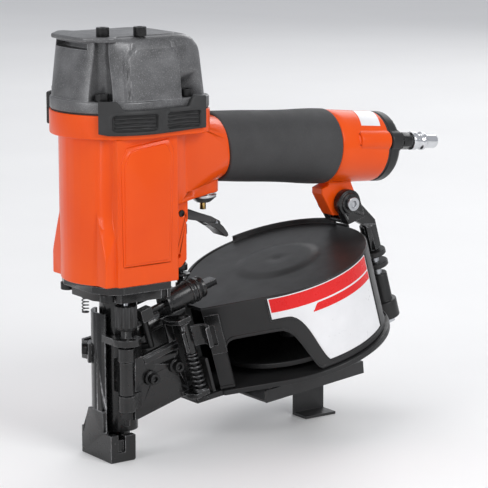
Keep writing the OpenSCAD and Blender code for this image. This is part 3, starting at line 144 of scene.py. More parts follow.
class Shader:
    """Builds the node tree of one material with short calls."""

    def __init__(self, name: str) -> None:
        """Starts a material.

        Args:
            name: Name of the material.
        """
        self.material = bpy.data.materials.new(name)
        self.material.use_nodes = True
        self.nodes = self.material.node_tree.nodes
        self.links = self.material.node_tree.links
        self.surface = next(n for n in self.nodes if n.type == "BSDF_PRINCIPLED")
        self.place = self.nodes.new("ShaderNodeTexCoord").outputs["Object"]

    def constants(self, values: dict[str, float | tuple[float, ...]]) -> None:
        """Sets plain values on the surface's own sockets.

        Args:
            values: Value for each socket name.
        """
        for name, value in values.items():
            self.surface.inputs[name].default_value = value

    def feed(self, output: bpy.types.NodeSocket, name: str) -> None:
        """Links an output to a socket of the surface."""
        self.links.new(output, self.surface.inputs[name])

    def noise(self, scale: float, detail: float, roughness: float) -> bpy.types.NodeSocket:
        """Adds a noise texture on object coordinates.

        Args:
            scale: Scale of the pattern, per metre.
            detail: Number of octaves.
            roughness: Strength of the finer octaves.

        Returns:
            The noise value.
        """
        node = self.nodes.new("ShaderNodeTexNoise")
        node.inputs["Scale"].default_value = scale
        node.inputs["Detail"].default_value = detail
        node.inputs["Roughness"].default_value = roughness
        self.links.new(self.place, node.inputs["Vector"])
        return node.outputs["Fac"]

    def spread(
        self, source: bpy.types.NodeSocket, limits: Pair, result: Pair
    ) -> bpy.types.NodeSocket:
        """Maps a value from one range to another, held at its ends.

        Args:
            source: Value to map.
            limits: Range that is read.
            result: Range that is given out.

        Returns:
            The mapped value.
        """
        node = self.nodes.new("ShaderNodeMapRange")
        for name, value in zip(("From Min", "From Max", "To Min", "To Max"), limits + result):
            node.inputs[name].default_value = value
        self.links.new(source, node.inputs["Value"])
        return node.outputs["Result"]

    def ramp(
        self, source: bpy.types.NodeSocket, stops: Sequence[tuple[float, Colour]]
    ) -> bpy.types.NodeSocket:
        """Turns a value into a colour.

        Args:
            source: Value from 0 to 1.
            stops: Position and colour of each stop.

        Returns:
            The colour.
        """
        node = self.nodes.new("ShaderNodeValToRGB")
        elements = node.color_ramp.elements
        while len(elements) < len(stops):
            elements.new(0.5)
        for element, (position, colour) in zip(elements, stops):
            element.position = position
            element.color = (*colour, 1.0)
        self.links.new(source, node.inputs["Fac"])
        return node.outputs["Color"]

    def multiply(
        self, first: bpy.types.NodeSocket, second: bpy.types.NodeSocket
    ) -> bpy.types.NodeSocket:
        """Multiplies two varying values.

        Args:
            first: One value.
            second: The other value.

        Returns:
            Their product.
        """
        node = self.nodes.new("ShaderNodeMath")
        node.operation = "MULTIPLY"
        self.links.new(first, node.inputs[0])
        self.links.new(second, node.inputs[1])
        return node.outputs["Value"]

    def blend(
        self,
        factor: bpy.types.NodeSocket,
        first: bpy.types.NodeSocket,
        second: Colour,
    ) -> bpy.types.NodeSocket:
        """Mixes a varying colour with a plain one by a varying factor.

        Args:
            factor: Share of the plain colour.
            first: Varying colour.
            second: Plain colour.

        Returns:
            The mixed colour.
        """
        node = self.nodes.new("ShaderNodeMix")
        node.data_type = "RGBA"
        share, base, over = (node.inputs[i] for i in MIX_COLOUR_INPUTS)
        self.links.new(factor, share)
        self.links.new(first, base)
        over.default_value = (*second, 1.0)
        return node.outputs[MIX_COLOUR_OUTPUT]

    def edges(self, radius_mm: float, strength: float) -> bpy.types.NodeSocket:
        """Finds the corners of a piece, broken up by noise: real wear, and a painted highlight on
        lit edges.

        Args:
            radius_mm: Reach of the wear and painted highlight from the corner.
            strength: Greatest share of the wear and painted highlight, from 0 to 1.

        Returns:
            The share of wear and painted highlight, from 0 on flat faces to the strength on corners.
        """
        bevel = self.nodes.new("ShaderNodeBevel")
        bevel.samples = EDGE_SAMPLES
        bevel.inputs["Radius"].default_value = radius_mm * MM
        geometry = self.nodes.new("ShaderNodeNewGeometry")
        dot = self.nodes.new("ShaderNodeVectorMath")
        dot.operation = "DOT_PRODUCT"
        self.links.new(bevel.outputs["Normal"], dot.inputs[0])
        self.links.new(geometry.outputs["Normal"], dot.inputs[1])
        # Mask of the corners: real edge wear, and on some finishes a painted highlight standing for
        # the glint of lit edges.
        corner = self.spread(dot.outputs["Value"], limits=(0.99, 0.86), result=(0.0, strength))
        patches = self.noise(scale=260.0, detail=4.0, roughness=0.65)
        wear_and_glint_share = self.spread(patches, limits=(0.38, 0.62), result=(0.25, 1.0))
        return self.multiply(corner, wear_and_glint_share)

    def bump(self, height: bpy.types.NodeSocket, depth_mm: float, strength: float) -> None:
        """Presses a fine pattern into the surface.

        Args:
            height: Pattern from 0 to 1.
            depth_mm: Depth of the pattern.
            strength: Share of the effect.
        """
        node = self.nodes.new("ShaderNodeBump")
        node.inputs["Strength"].default_value = strength
        node.inputs["Distance"].default_value = depth_mm * MM
        self.links.new(height, node.inputs["Height"])
        self.feed(node.outputs["Normal"], "Normal")


@dataclass(frozen=True)
class Finish:
    """A surface finish with a tone, a gloss range and a fine relief."""

    name: str
    dark: Colour
    light: Colour
    gloss: Pair
    metallic: float = 0.0
    tone_scale: float = 60.0
    relief_scale: float = 1500.0
    relief_mm: float = 0.01
    relief_strength: float = 0.4
    coat: float = 0.0
    coat_gloss: float = 0.08
    level: float = 0.5
    # Lighter colour on the corners: real edge wear, and on the black steel and the grey casting also
    # a painted highlight along lit edges.
    wear_and_glint: float = 0.0
    worn_and_glint: Colour = (0.30, 0.30, 0.31)
    wear_and_glint_mm: float = 0.5

    def make(self) -> bpy.types.Material:
        """Builds the material, once.

        Returns:
            The material.
        """
        found = bpy.data.materials.get(self.name)
        if found is not None:
            return found
        shader = Shader(self.name)
        shader.constants(
            {
                "Metallic": self.metallic,
                "Coat Weight": self.coat,
                "Coat Roughness": self.coat_gloss,
                "Specular IOR Level": self.level,
            }
        )
        colour = self.tone(shader)
        # Lightens the corners: real edge wear, and on some finishes a painted highlight along lit
        # edges.
        if self.wear_and_glint > 0:
            colour = shader.blend(shader.edges(self.wear_and_glint_mm, self.wear_and_glint), colour, self.worn_and_glint)
        shader.feed(colour, "Base Color")
        smear = shader.noise(scale=self.tone_scale * 2.5, detail=4.0, roughness=0.6)
        shader.feed(shader.spread(smear, limits=(0.3, 0.7), result=self.gloss), "Roughness")
        relief = shader.noise(scale=self.relief_scale, detail=2.0, roughness=0.5)
        shader.bump(relief, self.relief_mm, self.relief_strength)
        return shader.material

    def tone(self, shader: Shader) -> bpy.types.NodeSocket:
        """Varies the colour slowly over the surface."""
        drift = shader.noise(scale=self.tone_scale, detail=3.0, roughness=0.55)
        return shader.ramp(drift, ((0.3, self.dark), (0.7, self.light)))


@dataclass(frozen=True)
class SpeckledFinish(Finish):
    """A cast or rubbery finish with fine light specks."""

    speck: Colour = (0.2, 0.2, 0.2)
    speck_scale: float = 900.0

    def tone(self, shader: Shader) -> bpy.types.NodeSocket:
        """Scatters specks over the slow change of tone.

        Args:
            shader: Node tree of the material.

        Returns:
            The colour.
        """
        base = Finish.tone(self, shader)
        grains = shader.noise(scale=self.speck_scale, detail=3.0, roughness=0.7)
        specks = shader.spread(grains, limits=(0.54, 0.72), result=(0.0, 0.75))
        return shader.blend(specks, base, self.speck)


def grey(value: float) -> Colour:
    """Gives a neutral grey."""
    return (value, value, value * 1.02)


FINISHES: dict[Slot, Finish] = {
    Slot.ORANGE_PAINT: Finish(
        "gloss orange enamel",
        (0.72, 0.064, 0.0008),
        (0.79, 0.084, 0.0016),
        (0.30, 0.38),
        tone_scale=18.0,
        relief_scale=420.0,
        relief_mm=0.04,
        relief_strength=0.14,
        coat=0.16,
        coat_gloss=0.1,
        level=0.2,
    ),
    Slot.CAST_GREY: SpeckledFinish(
        "grey casting",
        grey(0.075),
        grey(0.150),
        (0.28, 0.42),
        metallic=0.4,
        relief_scale=2000.0,
        relief_mm=0.08,
        relief_strength=0.8,
        # Light corners: real wear, and a painted highlight along the lit ridges of the casting.
        wear_and_glint=0.7,
        worn_and_glint=grey(0.42),
        wear_and_glint_mm=0.9,
        speck=grey(0.36),
        speck_scale=1900.0,
    ),
    Slot.BLACK_RUBBER: Finish(
        "black rubber",
        grey(0.016),
        grey(0.026),
        (0.5, 0.64),
        relief_scale=1700.0,
        relief_mm=0.02,
        level=0.45,
    ),
    Slot.GRIP_RUBBER: SpeckledFinish(
        "grip rubber",
        grey(0.034),
        grey(0.044),
        (0.6, 0.72),
        tone_scale=40.0,
        relief_scale=2100.0,
        relief_mm=0.05,
        relief_strength=0.5,
        level=0.42,
        speck=grey(0.06),
        speck_scale=1500.0,
    ),
    Slot.BUMPER_RUBBER: Finish(
        "amber urethane", (0.55, 0.22, 0.03), (0.62, 0.28, 0.05), (0.35, 0.45)
    ),
    Slot.BLACK_SCREW: Finish(
        "black oxide screws",
        grey(0.014),
        grey(0.022),
        (0.24, 0.36),
        metallic=0.55,
        wear_and_glint=0.55,
        worn_and_glint=grey(0.22),
        wear_and_glint_mm=0.3,
    ),
    Slot.BLACK_STEEL: Finish(
        "black oxide steel",
        grey(0.007),
        grey(0.013),
        (0.20, 0.32),
        metallic=0.2,
        tone_scale=45.0,
        relief_scale=520.0,
        relief_mm=0.03,
        relief_strength=0.22,
        coat=0.22,
        coat_gloss=0.1,
        level=0.42,
        # Bright corners: mostly a painted highlight standing for the glint on lit edges, with some
        # real wear.
        wear_and_glint=0.95,
        worn_and_glint=grey(0.46),
        wear_and_glint_mm=0.6,
    ),
    Slot.SPRING_STEEL: Finish(
        "oiled spring wire", grey(0.05), grey(0.09), (0.24, 0.34), metallic=0.85
    ),
    Slot.BRIGHT_STEEL: Finish(
        "satin steel",
        (0.42, 0.43, 0.45),
        (0.56, 0.57, 0.59),
        (0.24, 0.38),
        metallic=1.0,
        relief_scale=700.0,
        relief_mm=0.01,
    ),
    Slot.CHROME: Finish(
        "plated steel",
        (0.60, 0.61, 0.63),
        (0.70, 0.71, 0.73),
        (0.10, 0.2),
        metallic=1.0,
        relief_mm=0.005,
    ),
    Slot.DARK_FITTING: Finish(
        "dark fitting", grey(0.03), grey(0.05), (0.22, 0.34), metallic=0.8, wear_and_glint=0.5
    ),
    Slot.PISTON_ALLOY: Finish(
        "machined alloy",
        (0.52, 0.53, 0.54),
        (0.63, 0.64, 0.65),
        (0.26, 0.4),
        metallic=1.0,
        relief_mm=0.01,
    ),
    Slot.BRASS: Finish(
        "turned brass", (0.55, 0.36, 0.12), (0.66, 0.46, 0.18), (0.22, 0.32), metallic=1.0
    ),
    Slot.BLACK_PLASTIC: Finish(
        "moulded black nylon",
        grey(0.011),
        grey(0.016),
        (0.34, 0.44),
        tone_scale=30.0,
        relief_scale=1900.0,
        relief_mm=0.03,
        relief_strength=0.4,
        level=0.4,
        wear_and_glint=0.35,
        worn_and_glint=grey(0.09),
        wear_and_glint_mm=0.7,
    ),
    Slot.DIAL_PLASTIC: Finish(
        "dial nylon", grey(0.015), grey(0.022), (0.32, 0.42), relief_mm=0.015
    ),
    Slot.TRIGGER_PLASTIC: Finish(
        "trigger enamel",
        grey(0.018),
        grey(0.026),
        (0.26, 0.36),
        relief_mm=0.015,
        coat=0.2,
        coat_gloss=0.2,
    ),
    Slot.CHANNEL_PAINT: Finish(
        "satin powder coat",
        grey(0.019),
        grey(0.027),
        (0.34, 0.46),
        metallic=0.1,
        relief_scale=1100.0,
        relief_mm=0.04,
        relief_strength=0.35,
        wear_and_glint=0.4,
        worn_and_glint=grey(0.12),
    ),
}

LABEL_WHITE = Finish(
    "white label film", (0.72, 0.72, 0.73), (0.78, 0.78, 0.79), (0.26, 0.36), relief_mm=0.004
)
LABEL_RED = Finish(
    "red label print",
    (0.66, 0.010, 0.011),
    (0.72, 0.014, 0.014),
    (0.24, 0.34),
    relief_mm=0.004,
    level=0.3,
)
STUDIO_FLOOR = Finish(
    "pale studio floor",
    (0.86, 0.855, 0.85),
    (0.89, 0.885, 0.88),
    (0.5, 0.6),
    tone_scale=3.0,
    relief_scale=200.0,
    relief_mm=0.02,
    relief_strength=0.1,
)


# ---------------------------------------------------------------------------
# Forms: points in millimetres
# ---------------------------------------------------------------------------


def turned(axis: str, degrees: float) -> Matrix:
    """Gives a turn about X, Y or Z."""
    return Matrix.Rotation(math.radians(degrees), 4, axis)


def moved(x: float, y: float, z: float) -> Matrix:
    """Gives a move in millimetres."""
    return Matrix.Translation((x, y, z))


def smooth_line(points: Sequence[Sequence[float]], steps: int) -> list[Vector]:
    """Draws a smooth line through points.

    Args:
        points: Points that the line passes.
        steps: Number of steps between two points.

    Returns:
        The points of the line.
    """
    knots = [Vector(p) for p in points]
    last = len(knots) - 1
    line: list[Vector] = []
    for i in range(last):
        a, b, c, d = (knots[min(max(i + k, 0), last)] for k in (-1, 0, 1, 2))
        slope, bend, twist = c - a, 2 * a - 5 * b + 4 * c - d, 3 * b - 3 * c + d - a
        for step in range(steps):
            t = step / steps
            line.append(0.5 * (2 * b + slope * t + bend * t**2 + twist * t**3))
    return line + [knots[-1]]


@dataclass(frozen=True)
class Station:
    """A place along a wall: where it stands, which way it faces and how high it runs."""

    run: float
    x: float
    y: float
    face: Pair
    low: float
    high: float

    def at(self, offset: float, height: float) -> Vector:
        """Gives the point at an offset from the wall's line, at a height."""
        return Vector((self.x + self.face[0] * offset, self.y + self.face[1] * offset, height))


@dataclass
class Form:
    """A closed surface under construction, in millimetres."""

    points: list[Vector] = field(default_factory=list)
    faces: list[tuple[int, ...]] = field(default_factory=list)

    def add(self, other: "Form", place: Matrix | None = None) -> "Form":
        """Takes in another form.

        Args:
            other: Form to take in.
            place: Where it goes.

        Returns:
            This form.
        """
        start = len(self.points)
        self.points += [place @ p if place else p.copy() for p in other.points]
        self.faces += [tuple(start + i for i in face) for face in other.faces]
        return self

    def placed(self, place: Matrix) -> "Form":
        """Gives a copy at another place."""
        return Form().add(self, place)

    def mesh(self, name: str, smooth: float = SMOOTH_DEGREES) -> bpy.types.Mesh:
        """Makes the mesh in metres, with its faces turned outwards.

        Args:
            name: Name of the mesh.
            smooth: Angle in degrees up to which faces shade as one.

        Returns:
            The mesh.
        """
        mesh = bpy.data.meshes.new(name)
        mesh.from_pydata([p * MM for p in self.points], [], self.faces)
        work = bmesh.new()
        work.from_mesh(mesh)
        bmesh.ops.remove_doubles(work, verts=work.verts, dist=1e-6)
        bmesh.ops.recalc_face_normals(work, faces=work.faces)
        work.to_mesh(mesh)
        work.free()
        shade(mesh, smooth)
        return mesh

    @staticmethod
    def loft(rings: Sequence[Sequence[Vector]], closed: bool = False) -> "Form":
        """Joins rings of equal length into a skin.

        Args:
            rings: Rings of points.
            closed: Whether the last ring joins the first. If not, both are filled.

        Returns:
            The skin.
        """
        size = len(rings[0])
        form = Form([p for ring in rings for p in ring])
        for r in range(len(rings) - (0 if closed else 1)):
            low, high = r * size, ((r + 1) % len(rings)) * size
            for i in range(size):
                j = (i + 1) % size
                form.faces.append((low + i, low + j, high + j, high + i))
        if not closed:
            form.faces.append(tuple(range(size))[::-1])
            form.faces.append(tuple(range((len(rings) - 1) * size, len(rings) * size)))
        return form

    @staticmethod
    def lathe(profile: Sequence[Pair], steps: int = 72) -> "Form":
        """Turns a profile of radius and height round Z.

        Args:
            profile: Closed profile.
            steps: Number of steps round.

        Returns:
            The turned form.
        """
        rings = []
        for s in range(steps):
            angle = math.tau * s / steps
            rings.append(
                [Vector((r * math.cos(angle), r * math.sin(angle), z)) for r, z in profile]
            )
        return Form.loft(rings, closed=True)

    @staticmethod
    def plate(outline: Sequence[Pair], low: float, high: float, edge: float = 0.5) -> "Form":
        """Cuts a plate from an outline in X and Z, between two values of Y, with rounded edges.

        Args:
            outline: Points of the outline in X and Z.
            low: Lower Y.
            high: Upper Y.
            edge: Radius of the edges.

        Returns:
            The plate.
        """
        points = [Vector(p) for p in outline]
        area = sum(a.x * b.y - b.x * a.y for a, b in zip(points, points[1:] + points[:1]))
        turn = 1.0 if area > 0 else -1.0
        normals = []
        for i, point in enumerate(points):
            before, after = points[i - 1], points[(i + 1) % len(points)]
            along = (after - before).normalized()
            normals.append(Vector((along.y, -along.x)) * turn)
        turns = [math.radians(angle) for angle in (0, 30, 60, 90)]
        levels = [(edge * (1 - math.sin(t)), low + edge * (1 - math.cos(t))) for t in turns]
        levels += [
            (edge * (1 - math.sin(t)), high - edge * (1 - math.cos(t))) for t in reversed(turns)
        ]
        rings = [
            [Form._on_plate(p, n, inset, y) for p, n in zip(points, normals)]
            for inset, y in levels
        ]
        return Form.loft(rings)

    @staticmethod
    def _on_plate(point: Vector, normal: Vector, inset: float, y: float) -> Vector:
        """Places one point of a plate's outline."""
        return Vector((point.x - normal.x * inset, y, point.y - normal.y * inset))

    @staticmethod
    def slab(outline: Sequence[Pair], low: float, high: float, edge: float = 0.5) -> "Form":
        """Cuts a level slab from an outline in X and Y, with rounded edges."""
        flat = [(x, -y) for x, y in outline]
        return Form.plate(flat, low, high, edge).placed(turned("X", 90))

    @staticmethod
    def shell(
        stations: Sequence[Station],
        rows: Callable[[Station], Sequence[Pair]],
        back: float,
        drop: float = 0.4,
    ) -> "Form":
        """Raises a curved wall with a modelled outer skin.

        Args:
            stations: Places along the wall.
            rows: Gives the skin's height and offset pairs at a station, from the foot up.
            back: Offset of the inner face.
            drop: How far the inner face ends below the top.

        Returns:
            The wall.
        """
        rings = []
        for station in stations:
            skin = rows(station)
            ring = [station.at(offset, height) for height, offset in skin]
            ring.append(station.at(back, skin[-1][0] - drop))
            ring.append(station.at(back, skin[0][0]))
            rings.append(ring)
        return Form.loft(rings)


def ease(value: float, start: float, end: float) -> float:
    """Rises smoothly from 0 at the start to 1 at the end."""
    t = min(max((value - start) / (end - start), 0.0), 1.0)
    return t * t * (3 - 2 * t)


def window(value: float, low: float, high: float, soft: float) -> float:
    """Gives 1 between two limits and falls smoothly to 0 outside them."""
    return ease(value, low - soft, low) * (1 - ease(value, high, high + soft))


def value_at(line: Sequence[Pair], x: float) -> float:
    """Reads a line of x and value pairs at one x, held at its ends.

    Args:
        line: Pairs of x and value, in the order of x.
        x: Place to read.

    Returns:
        The value.
    """
    for (x0, v0), (x1, v1) in zip(line, line[1:]):
        if x <= x1:
            return v0 + (v1 - v0) * min(max((x - x0) / (x1 - x0), 0.0), 1.0)
    return line[-1][1]


def curve(points: Sequence[Pair], steps: int) -> list[Pair]:
    """Draws a smooth line of x and value pairs through points."""
    return [(p.x, p.y) for p in smooth_line([Vector(q) for q in points], steps)]


def pad_gap(x: float, y: float, half: Pair, radius: float) -> float:
    """Gives the distance outside a rounded rectangle, less than 0 inside it."""
    qx, qy = abs(x) - half[0] + radius, abs(y) - half[1] + radius
    return math.hypot(max(qx, 0.0), max(qy, 0.0)) + min(max(qx, qy), 0.0) - radius


def spaced(start: float, end: float, step: float) -> list[float]:
    """Divides a length into equal steps no longer than the one given."""
    count = max(1, math.ceil(abs(end - start) / step))
    return [start + (end - start) * k / count for k in range(count + 1)]


def arc(x: float, y: float, radius: float, start: float, end: float, step: float) -> list[Pair]:
    """Draws an arc.

    Args:
        x: X of its centre.
        y: Y of its centre.
        radius: Its radius.
        start: Angle at its start, in degrees.
        end: Angle at its end.
        step: Longest step, in degrees.

    Returns:
        The points of the arc.
    """
    return [
        (x + radius * math.cos(math.radians(a)), y + radius * math.sin(math.radians(a)))
        for a in spaced(start, end, step)
    ]


def shade(mesh: bpy.types.Mesh, angle: float) -> None:
    """Shades a mesh smooth where its faces meet at a low angle.

    Args:
        mesh: Mesh to shade.
        angle: Angle in degrees from which an edge stays sharp.
    """
    mesh.polygons.foreach_set("use_smooth", [True] * len(mesh.polygons))
    mesh.set_sharp_from_angle(angle=math.radians(angle))
    mesh.update()


# ---------------------------------------------------------------------------
# Node tree of the springs
# ---------------------------------------------------------------------------


class Tree:
    """A geometry node tree with named inputs that ends in one mesh with one material."""

    def __init__(self, name: str, inputs: dict[str, str]) -> None:
        """Starts the tree.

        Args:
            name: Name of the tree.
            inputs: Socket type for each input name.
        """
        self.tree = bpy.data.node_groups.new(name, "GeometryNodeTree")
        sides = self.tree.interface
        sides.new_socket("Geometry", in_out="OUTPUT", socket_type="NodeSocketGeometry")
        self.keys = {
            label: sides.new_socket(label, in_out="INPUT", socket_type=kind).identifier
            for label, kind in {**inputs, "Finish": "NodeSocketMaterial"}.items()
        }
        self.given = self.tree.nodes.new("NodeGroupInput")
        self.result = self.tree.nodes.new("NodeGroupOutput")

    def node(
        self,
        kind: str,
        links: dict[str | int, bpy.types.NodeSocket] | None = None,
        values: dict[str | int, object] | None = None,
    ) -> bpy.types.Node:
        """Adds a node.

        Args:
            kind: Type of the node.
            links: Output to link to each input.
            values: Plain value of each input.

        Returns:
            The node.
        """
        made = self.tree.nodes.new(kind)
        for key, value in (values or {}).items():
            made.inputs[key].default_value = value
        for key, output in (links or {}).items():
            self.tree.links.new(output, made.inputs[key])
        return made

    def close(self, geometry: bpy.types.NodeSocket) -> None:
        """Ends the tree: real meshes, one material.

        Args:
            geometry: What the tree has built.
        """
        real = self.node("GeometryNodeRealizeInstances", {"Geometry": geometry})
        dressed = self.node(
            "GeometryNodeSetMaterial",
            {"Geometry": real.outputs[0], "Material": self.given.outputs["Finish"]},
        )
        self.tree.links.new(dressed.outputs[0], self.result.inputs[0])

    def grow(self, name: str, finish: Finish, values: dict[str, float | int]) -> bpy.types.Mesh:
        """Runs the tree once.

        Args:
            name: Name of the mesh.
            finish: Finish of the mesh.
            values: Value for each named input.

        Returns:
            A plain mesh.
        """
        holder = bpy.data.objects.new(name + "_grown", bpy.data.meshes.new(name + "_seed"))
        bpy.context.scene.collection.objects.link(holder)
        modifier = holder.modifiers.new("Grow", "NODES")
        modifier.node_group = self.tree
        for label, value in values.items():
            modifier[self.keys[label]] = value
        modifier[self.keys["Finish"]] = finish.make()
        holder.update_tag()
        graph = bpy.context.evaluated_depsgraph_get()
        mesh = bpy.data.meshes.new_from_object(holder.evaluated_get(graph))
        mesh.name = name
        holder.modifiers.remove(modifier)
        bpy.data.objects.remove(holder)
        return mesh


class CoilTree(Tree):
    """A compression spring with closed ends, standing on Z."""

    wire_sides = 10
    end_steps = 40
    turn_steps = 28

    def __init__(self) -> None:
        """Builds the tree."""
        super().__init__(
            "compression spring",
            {
                "Turns": "NodeSocketFloat",
                "Coil Radius": "NodeSocketFloat",
                "Height": "NodeSocketFloat",
                "Wire Radius": "NodeSocketFloat",
                "Steps": "NodeSocketInt",
            },
        )
        given = self.given.outputs
        wire = self.node(
            "GeometryNodeCurvePrimitiveCircle",
            {"Radius": given["Wire Radius"]},
            {"Resolution": self.wire_sides},
        )
        spiral = self.node(
            "GeometryNodeCurveSpiral",
            {
                "Resolution": given["Steps"],
                "Rotations": given["Turns"],
                "Start Radius": given["Coil Radius"],
                "End Radius": given["Coil Radius"],
                "Height": given["Height"],
            },
        )
        coil = self._skin(spiral.outputs[0], wire.outputs[0])
        end = self.node(
            "GeometryNodeCurvePrimitiveCircle",
            {"Radius": given["Coil Radius"]},
            {"Resolution": self.end_steps},
        )
        low = self._skin(end.outputs[0], wire.outputs[0])
        lift = self.node("ShaderNodeCombineXYZ", {"Z": given["Height"]})
        high = self.node(
            "GeometryNodeTransform", {"Geometry": low, "Translation": lift.outputs[0]}
        )
        joined = self.node("GeometryNodeJoinGeometry")
        for output in (coil, low, high.outputs[0]):
            self.tree.links.new(output, joined.inputs[0])
        smooth = self.node("GeometryNodeSetShadeSmooth", {"Geometry": joined.outputs[0]})
        self.close(smooth.outputs[0])

    def _skin(
        self, curve: bpy.types.NodeSocket, wire: bpy.types.NodeSocket
    ) -> bpy.types.NodeSocket:
        """Gives a curve the thickness of the wire.

        Args:
            curve: Curve that the wire follows.
            wire: Section of the wire.

        Returns:
            The surface of the wire.
        """
        skin = self.node(
            "GeometryNodeCurveToMesh",
            {"Curve": curve, "Profile Curve": wire},
            {"Fill Caps": True},
        )
        return skin.outputs[0]


# ---------------------------------------------------------------------------
# Workshop: makes pieces and hands them to the frame
# ---------------------------------------------------------------------------


@dataclass(frozen=True)
class Coil:
    """A compression spring: the frame of its lower end, and its sizes in millimetres."""

    place: Matrix
    height: float
    radius: float
    wire: float
    turns: float


class Workshop:
    """Makes pieces, dresses them and ties them to their CAD bodies."""

    def __init__(self) -> None:
        """Reads the slots of the nodes and makes the spring's tree."""
        self.nodes: dict[str, bpy.types.Object] = frame["nodes"]
        self.slots = {
            entry["node"]: Slot(entry["material_slot"]) for entry in frame["record"]["subparts"]
        }
        self.done: set[str] = set()
        self.winder = CoilTree()

    def piece(
        self,
        name: str,
        mesh: bpy.types.Mesh,
        body: str,
        finish: Finish | None = None,
        slot: Slot | None = None,
        nodes: Iterable[str] = (),
    ) -> bpy.types.Object:
        """Makes a piece from a mesh in metres.

        Args:
            name: Name of the piece.
            mesh: Its mesh, already in place.
            body: CAD body that carries it.
            finish: Its finish, or None for the slot's own.
            slot: Material slot of the record whose finish it takes where no finish is given, or None
                where it has none.
            nodes: CAD nodes that it stands for.

        Returns:
            The piece.
        """
        mesh.materials.clear()
        mesh.materials.append((finish or FINISHES[slot]).make())
        mesh.name = name
        made = bpy.data.objects.new(name, mesh)
        bpy.context.scene.collection.objects.link(made)
        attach(made, body)
        if nodes:
            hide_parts(*nodes)
            self.done.update(nodes)
        LOG.info("%s: %d faces on %s", name, len(mesh.polygons), body)
        return made

    def form(
        self,
        name: str,
        form: Form,
        body: str,
        slot: Slot,
        nodes: Iterable[str] = (),
        smooth: float = SMOOTH_DEGREES,
    ) -> bpy.types.Object:
        """Makes a piece from a form in millimetres."""
        return self.piece(name, form.mesh(name, smooth), body, slot=slot, nodes=nodes)

    def refine(self, node: str, edge: Edge, finish: Finish | None = None) -> bpy.types.Object:
        """Makes the finished piece of a CAD node, with broken edges.

        Args:
            node: Name of the node.
            edge: How its edges are broken.
            finish: Finish other than the slot's own.

        Returns:
            The piece.
        """
        source = self.nodes[node]
        mesh = source.data.copy()
        work = bmesh.new()
        work.from_mesh(mesh)
        bmesh.ops.remove_doubles(work, verts=work.verts, dist=MERGE_DISTANCE)
        bmesh.ops.dissolve_limit(
            work, angle_limit=math.radians(FLAT_DEGREES), verts=work.verts, edges=work.edges
        )
        bmesh.ops.triangulate(work, faces=work.faces)
        bmesh.ops.remove_doubles(work, verts=work.verts, dist=COLLAPSE_DISTANCE)
        work.to_mesh(mesh)
        work.free()
        shade(mesh, SHARP_DEGREES)
        made = bpy.data.objects.new(node + "_refined", mesh)
        bpy.context.scene.collection.objects.link(made)
        radius, steps = edge.value
        bevel = made.modifiers.new("Break edges", "BEVEL")
        bevel.width = radius * MM
        bevel.segments = steps
        bevel.limit_method = "ANGLE"
        bevel.angle_limit = math.radians(SHARP_DEGREES)
        bevel.use_clamp_overlap = False
        bevel.harden_normals = True
        bevel.miter_outer = "MITER_ARC"
        graph = bpy.context.evaluated_depsgraph_get()
        final = bpy.data.meshes.new_from_object(made.evaluated_get(graph))
        bpy.data.objects.remove(made)
        settle(final, source.data, PULL_BACK * radius * MM)
        slot = self.slots[node]
        return self.piece(node + "_finished", final, source["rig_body"], finish, slot, (node,))

    def refine_all(self, nodes: dict[str, Edge]) -> None:
        """Refines several nodes."""
        for node, edge in nodes.items():
            self.refine(node, edge)

    def spring(self, name: str, body: str, node: str, coil: Coil) -> bpy.types.Object:
        """Winds a real coil spring for a CAD spring.

        Args:
            name: Name of the piece.
            body: CAD body that carries it.
            node: CAD node that it stands for.
            coil: Its place and sizes.

        Returns:
            The piece.
        """
        mesh = self.winder.grow(
            name,
            FINISHES[Slot.SPRING_STEEL],
            {
                "Turns": coil.turns,
                "Coil Radius": (coil.radius - coil.wire / 2) * MM,
                "Height": (coil.height - coil.wire) * MM,
                "Wire Radius": coil.wire / 2 * MM,
                "Steps": CoilTree.turn_steps,
            },
        )
        mesh.transform(in_metres(coil.place @ moved(0, 0, coil.wire / 2)))
        return self.piece(name, mesh, body, slot=Slot.SPRING_STEEL, nodes=(node,))

    def pressed_spring(self, name: str, node: str, coil: Coil) -> None:
        """Winds a spring carried by the housing's body, with a mesh of its own.

        Args:
            name: Name of the piece.
            node: CAD node that it stands for.
            coil: Its place and sizes at rest.
        """
        made = self.spring(name, "root", node, coil)
        anchor = in_metres(coil.place @ moved(0, 0, coil.height)).translation
        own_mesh(made)

    def dress_rest(self) -> None:
        """Gives every CAD node that still shows its finish."""
        for name, node in self.nodes.items():
            if name in self.done:
                continue
            node.data.materials.clear()
            node.data.materials.append(FINISHES[self.slots[name]].make())
            LOG.info("%s: CAD node dressed", name)


def settle(mesh: bpy.types.Mesh, source: bpy.types.Mesh, limit: float) -> None:
    """Pulls back the points of a bevelled mesh that shot past a corner.

    Args:
        mesh: Bevelled mesh, changed in place.
        source: Mesh that it came from.
        limit: Distance in metres from the source that a point may keep.
    """
    points = [vertex.co for vertex in source.vertices]
    faces = [polygon.vertices[:] for polygon in source.polygons]
    tree = BVHTree.FromPolygons(points, faces)
    for vertex in mesh.vertices:
        spot, _, _, gap = tree.find_nearest(vertex.co)
        if gap > limit:
            vertex.co = spot


def in_metres(place: Matrix) -> Matrix:
    """Turns a placement in millimetres into one in metres.

    Args:
        place: Placement in millimetres.

    Returns:
        The same placement in metres.
    """
    scaled = place.copy()
    scaled.translation = place.translation * MM
    return scaled


# Frames of what leans: the nose's feed with the drum, and the handle.
SLOPE = turned("Y", -16.0)
HANDLE = moved(60, 0, 184.3) @ turned("Y", 95)


# ---------------------------------------------------------------------------
# Sub-assemblies
# ---------------------------------------------------------------------------


